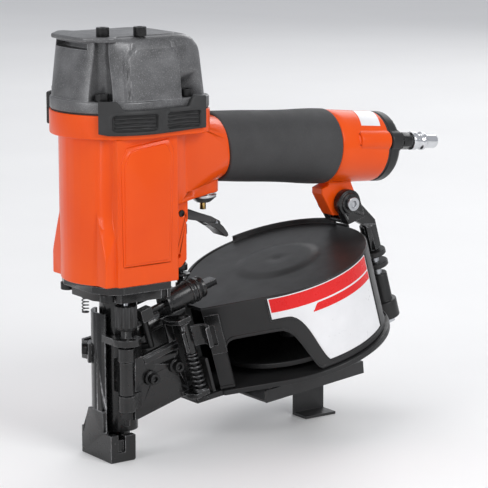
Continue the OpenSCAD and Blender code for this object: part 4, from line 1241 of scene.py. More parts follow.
@dataclass(frozen=True)
class HeadLine:
    """Plan of the head band: round in front, with square sides and rounded rear corners."""

    radius: float = 39.5
    side: float = 38.0
    rear: float = 48.0
    corner: float = 14.0

    def points(self, offset: float, step: float = 3.0) -> list[Pair]:
        """Draws the plan.

        Args:
            offset: Distance by which it is moved outwards.
            step: Step in degrees on the round front, doubled on the corners.

        Returns:
            The points of the plan.
        """
        radius, side = self.radius + offset, self.side + offset
        rear, corner = self.rear + offset, self.corner + offset
        meet = math.degrees(math.asin(side / radius))
        place = self.side - self.corner
        middle = self.rear - self.corner
        line = arc(middle, -place, corner, -90, 0, 2 * step)
        line += arc(middle, place, corner, 0, 90, 2 * step)
        line += arc(0, 0, radius, meet, 360 - meet, step)
        return line

    def stations(self, start: float, end: float, step: float, heights: Span) -> list[Station]:
        """Walks along one side, from the round front to the rear corner.

        Args:
            start: Angle on the round front, in degrees.
            end: X at which the walk ends.
            step: Length of a step.
            heights: Gives the lower and upper height at an X.

        Returns:
            The stations, with X as their run.
        """
        meet = 360 - math.degrees(math.asin(self.side / self.radius))
        turn = math.degrees(step / self.radius)
        walk: list[tuple[float, float, Pair]] = []
        for x, y in arc(0, 0, self.radius, start, meet, turn):
            walk.append((x, y, (x / self.radius, y / self.radius)))
        corner_x = self.rear - self.corner
        walk += [(x, -self.side, (0.0, -1.0)) for x in spaced(walk[-1][0], corner_x, step)[1:]]
        if end > corner_x:
            sweep = math.degrees(math.asin((end - corner_x) / self.corner))
            centre_y = self.corner - self.side
            for x, y in arc(corner_x, centre_y, self.corner, -90, -90 + sweep, 3.0)[1:]:
                walk.append((x, y, ((x - corner_x) / self.corner, (y - centre_y) / self.corner)))
        return [Station(x, x, y, face, *heights(x)) for x, y, face in walk]


@dataclass
class Guard:
    """Moulded guard that wraps one side of the head band, with two ribbed windows."""

    line: HeadLine = HeadLine()
    start_angle: float = 224.0
    end_x: float = 36.8
    step: float = 0.55
    back: float = 0.15
    thickness: float = 2.6
    foot: float = 201.2
    middle: float = 215.8
    ear: float = 221.2
    front_ear: Pair = (-21.0, -16.5)
    rear_ear: Pair = (25.0, 28.5)
    front_lift: float = 0.9
    front_lift_ends: Pair = (-29.0, -24.0)
    rear_lift: float = 0.8
    rear_lift_ends: Pair = (10.0, 34.0)
    rim: tuple[Pair, ...] = ((0.0, 0.9), (0.12, 0.5), (0.4, 0.18), (0.9, 0.0))
    skin_rows: int = 34
    skin_gaps: Pair = (1.3, 1.7)
    window_z: float = 208.3
    window_half: float = 4.9
    window_corner: float = 2.2
    window_frame: float = 0.35
    frame_gaps: Pair = (0.1, 1.0)
    frame_soft: float = 0.45
    window_slope: Pair = (0.0, 0.6)
    window_depth: float = 1.35
    windows: tuple[Pair, Pair] = ((-22.6, 2.8), (9.0, 33.6))
    rib_pitch: float = 2.35
    rib_height: float = 1.1
    rib_bow: float = 0.7
    rib_slope: Pair = (0.9, 1.7)
    rib_crown: float = 0.8

    def heights(self, x: float) -> Pair:
        """Gives the lower and upper edge at an X: high ears at both ends.

        Args:
            x: Place along the guard.

        Returns:
            The two heights.
        """
        ears = max(1 - ease(x, *self.front_ear), ease(x, *self.rear_ear))
        front = self.front_lift * (1 - ease(x, *self.front_lift_ends))
        rear = self.rear_lift * ease(x, *self.rear_lift_ends)
        return self.foot + front + rear, self.middle + (self.ear - self.middle) * ears

    def skin(self, x: float, z: float) -> float:
        """Gives the offset of the outer face: framed windows with bowed ribs.

        Args:
            x: Place along the guard.
            z: Height.

        Returns:
            The offset from the head band.
        """
        offset = self.thickness
        for low, high in self.windows:
            middle, half = (low + high) / 2, (high - low) / 2
            sides = (half, self.window_half)
            gap = pad_gap(x - middle, z - self.window_z, sides, self.window_corner)
            offset += self.window_frame * window(gap, *self.frame_gaps, self.frame_soft)
            inside = ease(-gap, *self.window_slope)
            bow = self.rib_bow * math.cos(math.pi * (x - middle) / (2 * half))
            wave = 0.5 + 0.5 * math.cos(math.tau * (z - self.window_z - bow) / self.rib_pitch)
            rib = ease(-gap, *self.rib_slope) * wave**self.rib_crown
            offset -= inside * (self.window_depth - self.rib_height * rib)
        return offset

    def rows(self, station: Station) -> list[Pair]:
        """Gives the skin at one station, with rounded rims.

        Args:
            station: Place along the guard.

        Returns:
            Height and offset pairs from the foot up.
        """
        x, low, high = station.run, station.low, station.high
        below, above = self.skin_gaps
        first, last = low + below, self.window_z + self.window_half + above
        rows = [(low + rise, self.thickness - fall) for rise, fall in self.rim]
        for k in range(self.skin_rows + 1):
            z = first + (last - first) * k / self.skin_rows
            rows.append((z, self.skin(x, z)))
        rows += [(high - rise, self.thickness - fall) for rise, fall in reversed(self.rim)]
        return rows

    def form(self, side: float) -> Form:
        """Shapes the guard of one side.

        Args:
            side: -1 for the left, 1 for the right.

        Returns:
            The guard.
        """
        stations = self.line.stations(self.start_angle, self.end_x, self.step, self.heights)
        shape = Form.shell(stations, self.rows, self.back)
        return shape.placed(Matrix.Diagonal((1.0, -side, 1.0, 1.0)))


@dataclass
class ExhaustCap:
    """Cast cap over the head: drafted sides, bolt wells and an exhaust slot under a lip."""

    line: HeadLine = HeadLine()
    foot: float = 220.3
    flange_low: float = 213.3
    flange_inset: float = 0.4
    flange_edge: float = 1.0
    lip: float = 254.2
    lip_step: Pair = (-20.5, -18.0)
    roof: float = 256.5
    roof_gaps: tuple[float, ...] = (1.9, 1.3, 0.8, 0.4, 0.12, 0.0)
    roof_share: float = 0.97
    row_step: float = 1.5
    draft: float = 4.6
    front: float = -36.0
    front_half: float = 19.0
    slant_end: float = -18.0
    rear_slant: float = 53.6
    roundness: float = 11.0
    side: float = 35.2
    rear: float = 46.0
    side_edge: float = 5.0
    rear_edge: float = 12.0
    wells: tuple[tuple[float, float, float], ...] = ((-24.6, 24.3, 300.0), (29.5, 31.0, 231.0))
    well_radius: float = 6.8
    well_taper: float = 2.7
    well_heights: Pair = (221.0, 252.0)
    well_fade: float = 6.0
    well_lip: Pair = (0.9, 0.6)
    well_steps: int = 22
    well_reach: int = 28
    panel_side: float = 15.0
    panel: Pair = (5.5, 217.5)
    panel_half: Pair = (17.5, 33.4)
    panel_corner: float = 8.0
    panel_frame: float = 0.6
    frame_gaps: Pair = (0.5, 1.8)
    frame_soft: float = 0.6
    panel_depth: float = 2.0
    panel_slope: Pair = (-0.2, 0.8)
    slot_half: float = 17.0
    slot: Pair = (249.8, 253.3)
    slot_edge: float = 0.05
    slot_angles: tuple[float, ...] = (-0.9, -0.7, 0.7, 0.9)
    slot_depth: float = 6.0
    middle: float = 3.0

    def reach(self, angle: float, z: float) -> float:
        """Gives the distance of the plain drafted side from the middle.

        Args:
            angle: Direction in radians.
            z: Height.

        Returns:
            The distance.
        """
        inset = self.draft * (z - self.foot) / (self.lip - self.foot)
        near_top = self.roof - z
        side_fall = self.rounding(near_top, self.side_edge)
        rear_fall = self.rounding(near_top, self.rear_edge)
        c, s = math.cos(angle), abs(math.sin(angle))
        slant = math.atan2(self.slant_end - self.front, self.side - self.front_half)
        planes = (
            (-1.0, 0.0, -self.front - inset + self.middle),
            (0.0, 1.0, self.side - inset - side_fall),
            (1.0, 0.0, self.rear - inset * 0.5 - self.middle - rear_fall),
            (
                -math.cos(slant),
                math.sin(slant),
                (self.middle - self.front - inset) * math.cos(slant)
                + self.front_half * math.sin(slant),
            ),
            (0.7071, 0.7071, self.rear_slant - inset - 0.7 * rear_fall - 0.3 * side_fall),
        )
        total = 0.0
        for nx, ny, distance in planes:
            along = nx * c + ny * s
            if along > 0.02:
                total += (along / distance) ** self.roundness
        return total ** (-1 / self.roundness)

    @staticmethod
    def rounding(gap: float, radius: float) -> float:
        """Gives how far a rounded top edge falls back.

        Args:
            gap: Distance below the top.
            radius: Radius of the edge.

        Returns:
            The distance from the plain side.
        """
        if gap >= radius:
            return 0.0
        return radius - math.sqrt(radius**2 - (radius - max(gap, 0.0)) ** 2)

    def point(self, angle: float, z: float) -> Vector:
        """Gives one point of the skin, with wells, slot and the framed side.

        Args:
            angle: Direction in radians.
            z: Height.

        Returns:
            The point.
        """
        reach = self.reach(angle, z)
        c, s = math.cos(angle), math.sin(angle)
        x, y = self.middle + reach * c, reach * s
        lip_in, lip_out = self.well_lip
        for well_x, well_y, top in self.wells:
            away = Vector((well_x - self.middle, well_y))
            far = away.length
            across = (abs(s) * away.x - c * away.y) / far * reach
            open_share = 1 - ease(z, top - self.well_fade, top + self.well_fade)
            radius = self.well_radius - self.well_taper * ease(z, *self.well_heights)
            inside = 1 - ease(abs(across), radius - lip_in, radius + lip_out)
            if c * away.x + abs(s) * away.y > 0 and inside * open_share > 0:
                round_part = math.sqrt(max(radius**2 - across**2, 0.0))
                floor = min(far - round_part, reach)
                reach -= (reach - floor) * inside * open_share
                return Vector((self.middle + reach * c, reach * s, z))
        if abs(y) > self.panel_side:
            middle_x, middle_z = self.panel
            gap = pad_gap(x - middle_x, z - middle_z, self.panel_half, self.panel_corner)
            frame = self.panel_frame * window(gap, *self.frame_gaps, self.frame_soft)
            y += math.copysign(frame - self.panel_depth * ease(-gap, *self.panel_slope), y)
        if c < 0 and abs(y) < self.slot_half and self.slot[0] < z < self.slot[1]:
            x += self.slot_depth
        return Vector((x, y, z))

    def form(self) -> Form:
        """Shapes the cap with its flange.

        Returns:
            The cap.
        """
        angles = set(spaced(0, 360, 1.0)[:-1])
        for well_x, well_y, _ in self.wells:
            centre = math.degrees(math.atan2(well_y, well_x - self.middle))
            far = math.hypot(well_y, well_x - self.middle)
            spread = math.degrees(self.well_radius / far)
            for k in range(-self.well_reach, self.well_reach + 1):
                angles.add((centre + spread * k / self.well_steps) % 360)
                angles.add((-centre - spread * k / self.well_steps) % 360)
        for side in (-1, 1):
            edge = 180 - side * math.degrees(math.atan2(self.slot_half, self.middle - self.front))
            angles.update(edge + away for away in self.slot_angles)
        (low, high), rim = self.slot, self.slot_edge
        heights = spaced(self.foot - 0.4, low - rim, self.row_step)
        heights += [low + rim, high - rim, high + rim, self.lip]
        heights += [self.roof - gap for gap in self.roof_gaps]
        turns = [math.radians(a) for a in sorted(angles)]
        rings = [[self.low_front(self.point(turn, z)) for turn in turns] for z in heights]
        share = self.roof_share
        flat = [Vector((p.x * share, p.y * share, p.z)) for p in rings[-1]]
        plan = self.line.points(-self.flange_inset)
        flange = Form.slab(plan, self.flange_low, self.foot, self.flange_edge)
        return Form.loft(rings + [flat]).add(flange)

    def low_front(self, point: Vector) -> Vector:
        """Keeps the part in front of the wells below the lip of the plate."""
        front = 1 - ease(point.x, *self.lip_step)
        return Vector((point.x, point.y, min(point.z, self.roof - (self.roof - self.lip) * front)))


@dataclass
class CapPlate:
    """Plate on the cap: a wide lip over the slot and a narrow inset rear part."""

    low: float = 254.3
    high: float = 256.95
    edge: float = 0.8
    half: tuple[Pair, ...] = (
        (-34.0, 8.0), (-33.4, 16.6), (-32.6, 18.6), (-22.9, 28.8), (-21.6, 29.6), (-18.4, 29.7),
        (-17.2, 29.2), (-16.6, 27.9), (-15.4, 24.8), (-14.0, 23.6), (-12.0, 23.2), (22.0, 23.2),
        (25.5, 22.5), (28.2, 20.4), (29.4, 17.5), (29.6, 8.0),
    )

    def form(self) -> Form:
        """Shapes the plate from its half and the mirror of that."""
        outline = self.half + tuple((x, -y) for x, y in reversed(self.half))
        return Form.slab(outline, self.low, self.high, self.edge)


@dataclass
class Housing:
    """Cast housing with its cap, guards and fasteners."""

    step: tuple[Pair, ...] = (
        (-16.2, 124.6), (13.0, 124.6), (14.6, 127.0), (16.2, 187.2), (14.0, 192.4), (11.5, 194.2),
        (-9.0, 192.2), (-12.0, 190.8), (-15.0, 185.4), (-16.2, 181.0),
    )
    step_faces: Pair = (33.8, 35.3)
    step_edge: float = 0.7
    valve_spring: Coil = Coil(moved(0, 0, 226.4), height=10.8, radius=23.8, wire=2.0, turns=3.0)
    valve_travel: float = 3.0

    def build(self, shop: Workshop) -> None:
        """Builds the housing's pieces.

        Args:
            shop: Workshop that makes them.
        """
        shop.refine_all(
            {
                "body_housing": Edge.SOFT,
                "cap_gasket": Edge.CRISP,
                "cap_bolts": Edge.MACHINED,
                "plate_bolts": Edge.MACHINED,
            }
        )
        low, high = self.step_faces
        near = Form.plate(self.step, -high, -low, self.step_edge)
        steps = near.add(Form.plate(self.step, low, high, self.step_edge))
        shop.form("housing_panel_steps", steps, "root", Slot.ORANGE_PAINT)
        shop.pressed_spring(
            "head_valve_coil",
            "head_valve_spring",
            self.valve_spring,
        )
        cap, plate = ExhaustCap(), CapPlate()
        shop.form("exhaust_cap_casting", cap.form(), "root", Slot.CAST_GREY, ("exhaust_cap",))
        shop.form("exhaust_cap_plate", plate.form(), "root", Slot.CAST_GREY, ("exhaust_plate",))
        for side, name in ((-1.0, "left"), (1.0, "right")):
            shop.form(
                f"head_guard_{name}",
                Guard().form(side),
                "root",
                shop.slots[f"guard_{name}"],
                (f"guard_{name}",),
            )


@dataclass
class Grip:
    """Rubber sleeve of the handle, cut at a slant in front."""

    core: float = 18.5
    cut: float = 8.0
    slant: float = 0.2126
    slant_radius: float = 21.5
    end: float = 93.0
    sides: int = 120
    stretches: int = 44
    rim: tuple[Pair, ...] = ((0.0, 1.2), (0.15, 0.75), (0.5, 0.3), (1.1, 0.0))
    profile: tuple[Pair, ...] = (
        (-5.0, 21.2), (12.0, 21.6), (30.0, 22.1), (48.0, 22.3), (62.0, 22.7), (74.0, 23.4),
        (84.0, 23.8), (93.5, 23.8),
    )

    def form(self) -> Form:
        """Shapes the sleeve in the handle's own frame.

        Returns:
            The sleeve.
        """
        line = curve(self.profile, 6)
        turns = [math.tau * k / self.sides for k in range(self.sides)]

        def ring(share: float, rise: float, fall: float | None) -> list[Vector]:
            """Places one ring.

            Args:
                share: Its share of the length.
                rise: How far it is moved along.
                fall: How far it lies inside the profile, or None for the handle's core.

            Returns:
                The ring.
            """
            found = []
            for turn in turns:
                c, sn = math.cos(turn), math.sin(turn)
                start = self.cut + self.slant * self.slant_radius * c
                s = start + (self.end - start) * share + rise
                radius = self.core if fall is None else value_at(line, s) - fall
                found.append(Vector((radius * c, radius * sn, s)))
            return found

        rings = [ring(0, 0, None)]
        rings += [ring(0, rise, fall) for rise, fall in self.rim]
        rings += [ring(k / self.stretches, 0, 0) for k in range(1, self.stretches)]
        rings += [ring(1, -rise, fall) for rise, fall in reversed(self.rim)]
        rings.append(ring(1, 0, None))
        return Form.loft(rings, closed=True)


@dataclass
class CollarSticker:
    """Plain white film on the collar, above the air plug."""

    angles: Pair = (41.0, 86.0)
    start: float = 110.5
    length: float = 15.5
    lean: float = 4.0
    thickness: float = 0.14
    tuck: float = 0.1
    collar_start: float = 93.0
    collar_length: float = 38.0
    collar_radius: float = 23.3
    collar_fall: float = 0.8

    def radius(self, s: float) -> float:
        """Gives the radius of the tapered collar at a place along it."""
        along = s - self.collar_start
        return self.collar_radius - self.collar_fall * along / self.collar_length

    def form(self) -> Form:
        """Cuts the film in the handle's own frame.

        Returns:
            The film.
        """
        rings = []
        low, high = self.angles
        for angle in spaced(low, high, 2.0):
            share = (angle - low) / (high - low)
            begin = self.start + self.lean * share
            stops = [(begin, -self.tuck)]
            stops += [(begin + self.length * k / 10, self.thickness) for k in range(11)]
            stops += [(begin + self.length, -self.tuck)]
            turn = math.radians(angle)
            ring = []
            for s, lift in stops:
                radius = self.radius(s) + lift
                ring.append(Vector((-radius * math.sin(turn), -radius * math.cos(turn), s)))
            rings.append(ring)
        return Form.loft(rings)


@dataclass
class Handle:
    """Grip, end cap and air connection."""

    def build(self, shop: Workshop) -> None:
        """Builds the handle's pieces.

        Args:
            shop: Workshop that makes them.
        """
        shop.form(
            "grip_sleeve",
            Grip().form().placed(HANDLE),
            "root",
            Slot.GRIP_RUBBER,
            ("handle_grip",),
            smooth=40.0,
        )
        sticker = CollarSticker().form().placed(HANDLE).mesh("collar_sticker")
        shop.piece("collar_sticker", sticker, "root", LABEL_WHITE)
        shop.refine_all(
            {
                "handle_end_cap": Edge.SOFT,
                "end_cap_seal": Edge.CRISP,
                "end_cap_screws": Edge.MACHINED,
                "plug_adapter": Edge.MACHINED,
                "air_plug": Edge.MACHINED,
            }
        )


@dataclass
class TriggerGroup:
    """Trigger, trip lever and trigger valve."""

    valve_spring: Coil = Coil(moved(62, 0, 157.4), height=16.9, radius=4.2, wire=1.0, turns=7.0)
    valve_travel: float = 3.0

    def build(self, shop: Workshop) -> None:
        """Builds the trigger's pieces.

        Args:
            shop: Workshop that makes them.
        """
        shop.refine_all(
            {
                "trigger": Edge.MACHINED,
                "trip_lever": Edge.CRISP,
                "trip_pin": Edge.CRISP,
                "valve_body": Edge.MACHINED,
                "valve_plunger": Edge.CRISP,
                "rod_guide": Edge.MACHINED,
            }
        )
        shop.refine("trigger_pin", Edge.CRISP, finish=FINISHES[Slot.BLACK_SCREW])
        shop.pressed_spring(
            "trigger_valve_spring",
            "valve_spring",
            self.valve_spring,
        )


@dataclass
class Nose:
    """Nose casting, contact arm, depth dial and nail door."""

    rod_x: float = 45.0
    collar_z: float = 113.05
    guide_z: float = 131.35
    foot_place: Pair = (-20.5, 4.0)
    foot_ends: Pair = (90.05, 108.7)
    arm_travel: float = 9.0
    feed_travel: float = 9.0

    def build(self, shop: Workshop) -> None:
        """Builds the nose's pieces.

        Args:
            shop: Workshop that makes them.
        """
        shop.refine_all(
            {
                "nose_body": Edge.MACHINED,
                "nose_gasket": Edge.CRISP,
                "nose_bolts": Edge.MACHINED,
                "contact_foot": Edge.MACHINED,
                "arm_rod": Edge.MACHINED,
                "arm_clamp": Edge.MACHINED,
                "depth_dial": Edge.MACHINED,
                "depth_stop": Edge.CRISP,
                "feed_cylinder": Edge.MACHINED,
                "feed_cap": Edge.MACHINED,
                "feed_piston": Edge.CRISP,
                "nail_door": Edge.MACHINED,
                "door_screws": Edge.MACHINED,
                "door_hinge_pin": Edge.MACHINED,
                "door_latch": Edge.MACHINED,
                "latch_pin": Edge.CRISP,
            }
        )
        shop.refine("feed_pawl", Edge.CRISP, finish=FINISHES[Slot.BLACK_SCREW])
        self.springs(shop)

    def springs(self, shop: Workshop) -> None:
        """Winds the springs of the arm, the foot, the feed piston and the door's latch.

        Args:
            shop: Workshop that makes them.
        """
        arm = Coil(
            moved(self.rod_x, 0, self.collar_z),
            height=self.guide_z - self.collar_z,
            radius=3.6,
            wire=0.9,
            turns=8.0,
        )
        low, high = self.foot_ends
        place = moved(*self.foot_place, low)
        foot = Coil(place, height=high - low, radius=2.3, wire=0.7, turns=9.0)
        feed = Coil(
            SLOPE @ moved(56.5, -14, 82.5) @ turned("Y", 90),
            height=14.4,
            radius=4.0,
            wire=0.9,
            turns=6.0,
        )
        latch = Coil(SLOPE @ moved(52, -25, 25.1), height=25.8, radius=4.4, wire=1.5, turns=8.0)
        shop.pressed_spring("arm_return_spring", "arm_spring", arm)
        shop.pressed_spring("foot_return_spring", "front_spring", foot)
        shop.pressed_spring("feed_return_spring", "feed_spring", feed)
        shop.spring("door_latch_spring", "nail_door", "latch_spring", latch)


@dataclass
class DrumCover:
    """Swinging cover of the drum: lid, near wall with a viewing cut-out, label and knuckles."""

    centre: Pair = (141.0, -3.0)
    radius: float = 58.0
    throat: Pair = (70.0, 15.0)
    tangent: float = 48.0
    wall: float = 2.4
    low: float = 15.7
    top: float = 70.7
    parting: float = -3.4
    hinge: Pair = (212.0, -6.0)
    label: Pair = (-1.6, 78.5)
    label_top: float = 69.3
    recess: float = 0.5
    frame: float = 0.3
    frame_outer: float = 1.2
    frame_inner: float = 0.35
    frame_soft: float = 0.45
    frame_steps: tuple[float, ...] = (1.7, 1.25, 0.8, 0.3)
    frame_edges: tuple[float, ...] = (-1.65, -1.2, -0.8, -0.35, 0.0, 0.35, 0.8, 1.2, 1.65)
    foot_lip: tuple[Pair, ...] = ((0.0, 0.9), (0.15, 0.4), (0.5, 0.08), (0.9, 0.0), (2.0, 0.0))
    foot_lip_end: float = 2.5
    foot_lip_clear: float = 2.8
    lip_height: float = 0.15
    cut_lip_height: float = 0.45
    cut_lip_ends: Pair = (21.0, 26.0)
    label_rows: int = 12
    top_rim: tuple[Pair, ...] = ((0.9, 0.0), (0.6, 0.06), (0.3, 0.25), (0.1, 0.52), (0.0, 0.9))
    wall_start: float = -42.7
    wall_step: float = 0.95
    hinge_gap: float = 0.4
    lid_drop: float = 0.01
    lid_inset: float = -0.86
    lid_rim: tuple[Pair, ...] = (
        (68.3, -0.7), (68.5, -0.25), (68.9, 0.0), (69.6, 0.0), (70.15, -0.3), (70.5, -0.8),
    )
    boss: tuple[Pair, ...] = (
        (40.0, 0.0), (29.5, 0.0), (27.8, 0.1), (26.2, 0.45), (23.4, 1.15), (21.6, 1.45),
        (19.5, 1.55), (10.0, 1.55), (3.2, 1.55), (2.4, 1.25), (0.6, 1.2),
    )
    knuckle: tuple[Pair, ...] = (
        (3.06, 0.0), (7.9, 0.0), (8.4, 0.5), (8.4, 2.9), (7.9, 3.4), (3.06, 3.4),
    )
    knuckle_feet: Pair = (38.0, 46.0)
    web: tuple[Pair, ...] = (
        (196.8, -12.6), (206.0, -12.0), (207.6, -9.0), (204.5, -4.0), (197.6, -4.0),
    )
    web_span: Pair = (0.02, 3.38)
    web_edge: float = 0.4
    film_lift: float = 0.2
    band_lift: float = 0.26
    film_margin: float = 0.1
    band_margins: Pair = (0.8, 0.7)
    upper_band: float = 59.7
    lower_band: Pair = (53.6, 58.6)
    lower_band_start: float = 24.7
    band_corner: float = 4.4
    band_corner_ends: Pair = (24.6, 30.0)
    film_rows: int = 10
    film_step: float = 0.9
    cut: list[Pair] = field(init=False)
    label_foot: list[Pair] = field(init=False)

    def __post_init__(self) -> None:
        """Draws the edges of the cut-out and of the label, along the wall."""
        self.cut = [(-33.5, self.low), (-33.4, 40.0)] + curve(
            [(-32.8, 43.0), (-31.0, 45.4), (-28.0, 46.8), (-24.0, 47.0), (0.0, 47.0), (5.0, 46.0),
             (8.6, 43.0), (11.6, 37.6), (14.5, 30.6), (17.2, 23.6), (19.6, 18.4), (22.0, self.low)],
            4,
        )
        self.label_foot = curve(
            [(-3.0, 55.3), (8.0, 55.2), (12.0, 53.9), (15.6, 50.4), (18.8, 44.6), (21.4, 37.6),
             (23.8, 30.0), (26.2, 23.6), (28.0, 21.0), (31.0, 20.3), (80.0, 20.3)],
            4,
        )

    def stations(self, runs: Sequence[float]) -> list[Station]:
        """Walks along the near wall from the throat to the hinge.

        Args:
            runs: Distances along the wall from the start of the round part.

        Returns:
            The stations.
        """
        found = []
        start = math.radians(180 + self.tangent)
        knee = Vector(self.centre) + self.radius * Vector((math.cos(start), math.sin(start)))
        mouth = Vector((self.throat[0], self.centre[1] - self.throat[1]))
        along = (knee - mouth).normalized()
        for run in runs:
            if run < 0:
                place = knee + along * run
                face = (along.y, -along.x)
            else:
                angle = start + run / self.radius
                face = (math.cos(angle), math.sin(angle))
                place = Vector(self.centre) + self.radius * Vector(face)
            low = value_at(self.cut, run) if run < self.cut[-1][0] else self.low
            found.append(Station(run, place.x, place.y, face, low, self.top))
        return found

    def wall_rows(self, station: Station) -> list[Pair]:
        """Gives the skin of the wall: lip, frame, label recess and rounded top rim.

        Args:
            station: Place along the wall.

        Returns:
            Height and offset pairs from the foot up.
        """
        run, low = station.run, station.low
        begin, end = self.label
        foot = value_at(self.label_foot, run)
        outside, inside, soft = self.frame_outer, self.frame_inner, self.frame_soft
        framed = window(run, begin - outside, end + outside, soft)
        sunk = window(run, begin - inside, end + inside, soft)
        raised = self.frame * framed
        floor = raised - (self.frame + self.recess) * sunk
        lip = self.cut_lip_height * (1 - ease(run, *self.cut_lip_ends)) + self.lip_height
        plain = self.foot_lip_end
        under, outer, inner, sill = (foot - step for step in self.frame_steps)
        under = max(under, low + self.foot_lip_clear)
        rows = [(low + rise, lip - fall) for rise, fall in self.foot_lip]
        rows.append((low + plain, 0.0))
        rows += [(low + plain + (under - low - plain) * k / 4, 0.0) for k in (1, 2, 3)]
        rows += [(under, 0.0), (outer, raised), (inner, raised), (sill, floor)]
        for k in range(self.label_rows + 1):
            rows.append((foot + (self.label_top - foot) * k / self.label_rows, floor))
        rows.append((self.label_top + inside, 0.0))
        rows += [(self.top - drop, -fall) for drop, fall in self.top_rim]
        return rows

    def near_wall(self) -> Form:
        """Shapes the wall.

        Returns:
            The wall.
        """
        end = self.radius * (math.pi * (180 - self.tangent) / 180) - self.hinge_gap
        runs = set(spaced(self.wall_start, end, self.wall_step)) | {run for run, _ in self.cut}
        for edge in self.label:
            runs |= {edge + step for step in self.frame_edges}
        return Form.shell(self.stations(sorted(runs)), self.wall_rows, -self.wall)

    def outline(self, step: float = 3.0) -> list[Pair]:
        """Draws the whole plan of the drum.

        Args:
            step: Step in degrees on the round part, and in millimetres on the straight ones.

        Returns:
            The points of the plan.
        """
        tip = 180 - self.tangent
        line = arc(*self.centre, self.radius, -tip, tip, step)
        far = (self.throat[0], self.centre[1] + self.throat[1])
        near = (self.throat[0], self.centre[1] - self.throat[1])
        for start, finish in ((line[-1], far), (far, near), (near, line[0])):
            length = math.dist(start, finish)
            shares = [k / math.ceil(length / step) for k in range(1, math.ceil(length / step))]
            line += [
                (start[0] + (finish[0] - start[0]) * t, start[1] + (finish[1] - start[1]) * t)
                for t in shares
            ]
            if finish != line[0]:
                line.append(finish)
        return line

    def lid(self) -> Form:
        """Shapes the lid: rounded rim and a low raised centre.

        Returns:
            The lid.
        """
        cx, cy = self.centre
        outline = self.outline()
        face = self.top - self.lid_drop
        rings = []
        for height, offset in self.lid_rim + ((face, self.lid_inset),):
            ring = []
            for x, y in outline:
                away = Vector((x - cx, y - cy))
                inset = offset if y > self.parting else min(offset, self.lid_inset)
                ring.append(Vector((cx, cy)) + away * (1 + inset / away.length))
            rings.append([Vector((p.x, p.y, height)) for p in ring])
        for radius, rise in self.boss:
            ring = []
            for x, y in outline:
                away = Vector((x - cx, y - cy)).normalized() * radius
                ring.append(Vector((cx + away.x, cy + away.y, face + rise)))
            rings.append(ring)
        return Form.loft(rings)

    def knuckles(self) -> Form:
        """Shapes the two hinge plates with their webs.

        Returns:
            The plates.
        """
        shape = Form()
        for height in self.knuckle_feet:
            low, high = (height + rise for rise in self.web_span)
            shape.add(Form.lathe(self.knuckle, 64), moved(*self.hinge, height))
            shape.add(Form.slab(self.web, low, high, self.web_edge))
        return shape

    def film(self, low: Line, high: Line, ends: Pair, lift: float) -> Form:
        """Cuts a film that lies in the label's recess.

        Args:
            low: Gives the film's lower edge at a run.
            high: Gives the film's upper edge at a run.
            ends: Runs between which it lies.
            lift: Height of its face above the recess.

        Returns:
            The film.
        """
        face = lift - self.recess

        def rows(station: Station) -> list[Pair]:
            """Divides the film between its edges.

            Args:
                station: Place along the wall.

            Returns:
                Height and offset pairs from the foot up.
            """
            foot, head = low(station.run), high(station.run)
            count, rise = self.film_rows, head - foot
            inner = [(foot + rise * k / count, face) for k in range(count + 1)]
            return [(foot, face - lift)] + inner + [(head, face - lift)]

        stations = self.stations(spaced(*ends, self.film_step))
        return Form.shell(stations, rows, -self.recess - 0.1, 0.0)

    def corner(self, run: float) -> float:
        """Gives how far the rounded left end of the lower band falls at a run."""
        return self.band_corner * (1 - ease(run, *self.band_corner_ends)) ** 2

    def labels(self) -> dict[str, Form]:
        """Cuts the white label and its two red bands.

        Returns:
            The form of each film, by the name of its piece.
        """
        begin, end = self.label
        margin, (band_margin, top_margin) = self.film_margin, self.band_margins
        band_foot, band_top = self.lower_band
        white = self.film(
            lambda run: value_at(self.label_foot, run) + margin,
            lambda run: self.label_top - margin,
            (begin + margin, end - margin),
            self.film_lift,
        )
        upper = self.film(
            lambda run: self.upper_band,
            lambda run: self.label_top - top_margin,
            (begin + band_margin, end - band_margin),
            self.band_lift,
        )
        lower = self.film(
            lambda run: band_foot,
            lambda run: band_top - self.corner(run),
            (self.lower_band_start, end - band_margin),
            self.band_lift,
        )
        return {"drum_label": white, "label_upper_band": upper, "label_lower_band": lower}

    def build(self, shop: Workshop) -> None:
        """Builds the cover and its labels.

        Args:
            shop: Workshop that makes them.
        """
        body = "magazine_cover"
        shape = self.near_wall().add(self.lid()).add(self.knuckles()).placed(SLOPE)
        slot = shop.slots["magazine_cover"]
        shop.form("drum_cover", shape, body, slot, ("magazine_cover",), smooth=32.0)
        for name, film in self.labels().items():
            finish = LABEL_WHITE if name == "drum_label" else LABEL_RED
            shop.piece(name, film.placed(SLOPE).mesh(name), body, finish)


@dataclass
class Magazine:
    """Drum, cover, hinge and hanger."""

    def build(self, shop: Workshop) -> None:
        """Builds the magazine's pieces.

        Args:
            shop: Workshop that makes them.
        """
        shop.refine_all(
            {
                "magazine_base": Edge.MOULDED,
                "nail_tray": Edge.MOULDED,
                "magazine_hinge_pin": Edge.MACHINED,
                "hanger_arm": Edge.MOULDED,
                "hanger_screw": Edge.MACHINED,
                "guide_channel": Edge.MACHINED,
                "shingle_guide": Edge.MACHINED,
            }
        )
        shop.refine("cover_strike", Edge.MACHINED, finish=FINISHES[Slot.BLACK_STEEL])
        DrumCover().build(shop)


# ---------------------------------------------------------------------------
# Studio
# ---------------------------------------------------------------------------


@dataclass(frozen=True)
class SoftBox:
    """A square soft light that looks at the tool."""

    name: str
    place: tuple[float, float, float]
    side: float
    watts: float
    colour: Colour = (1.0, 1.0, 1.0)


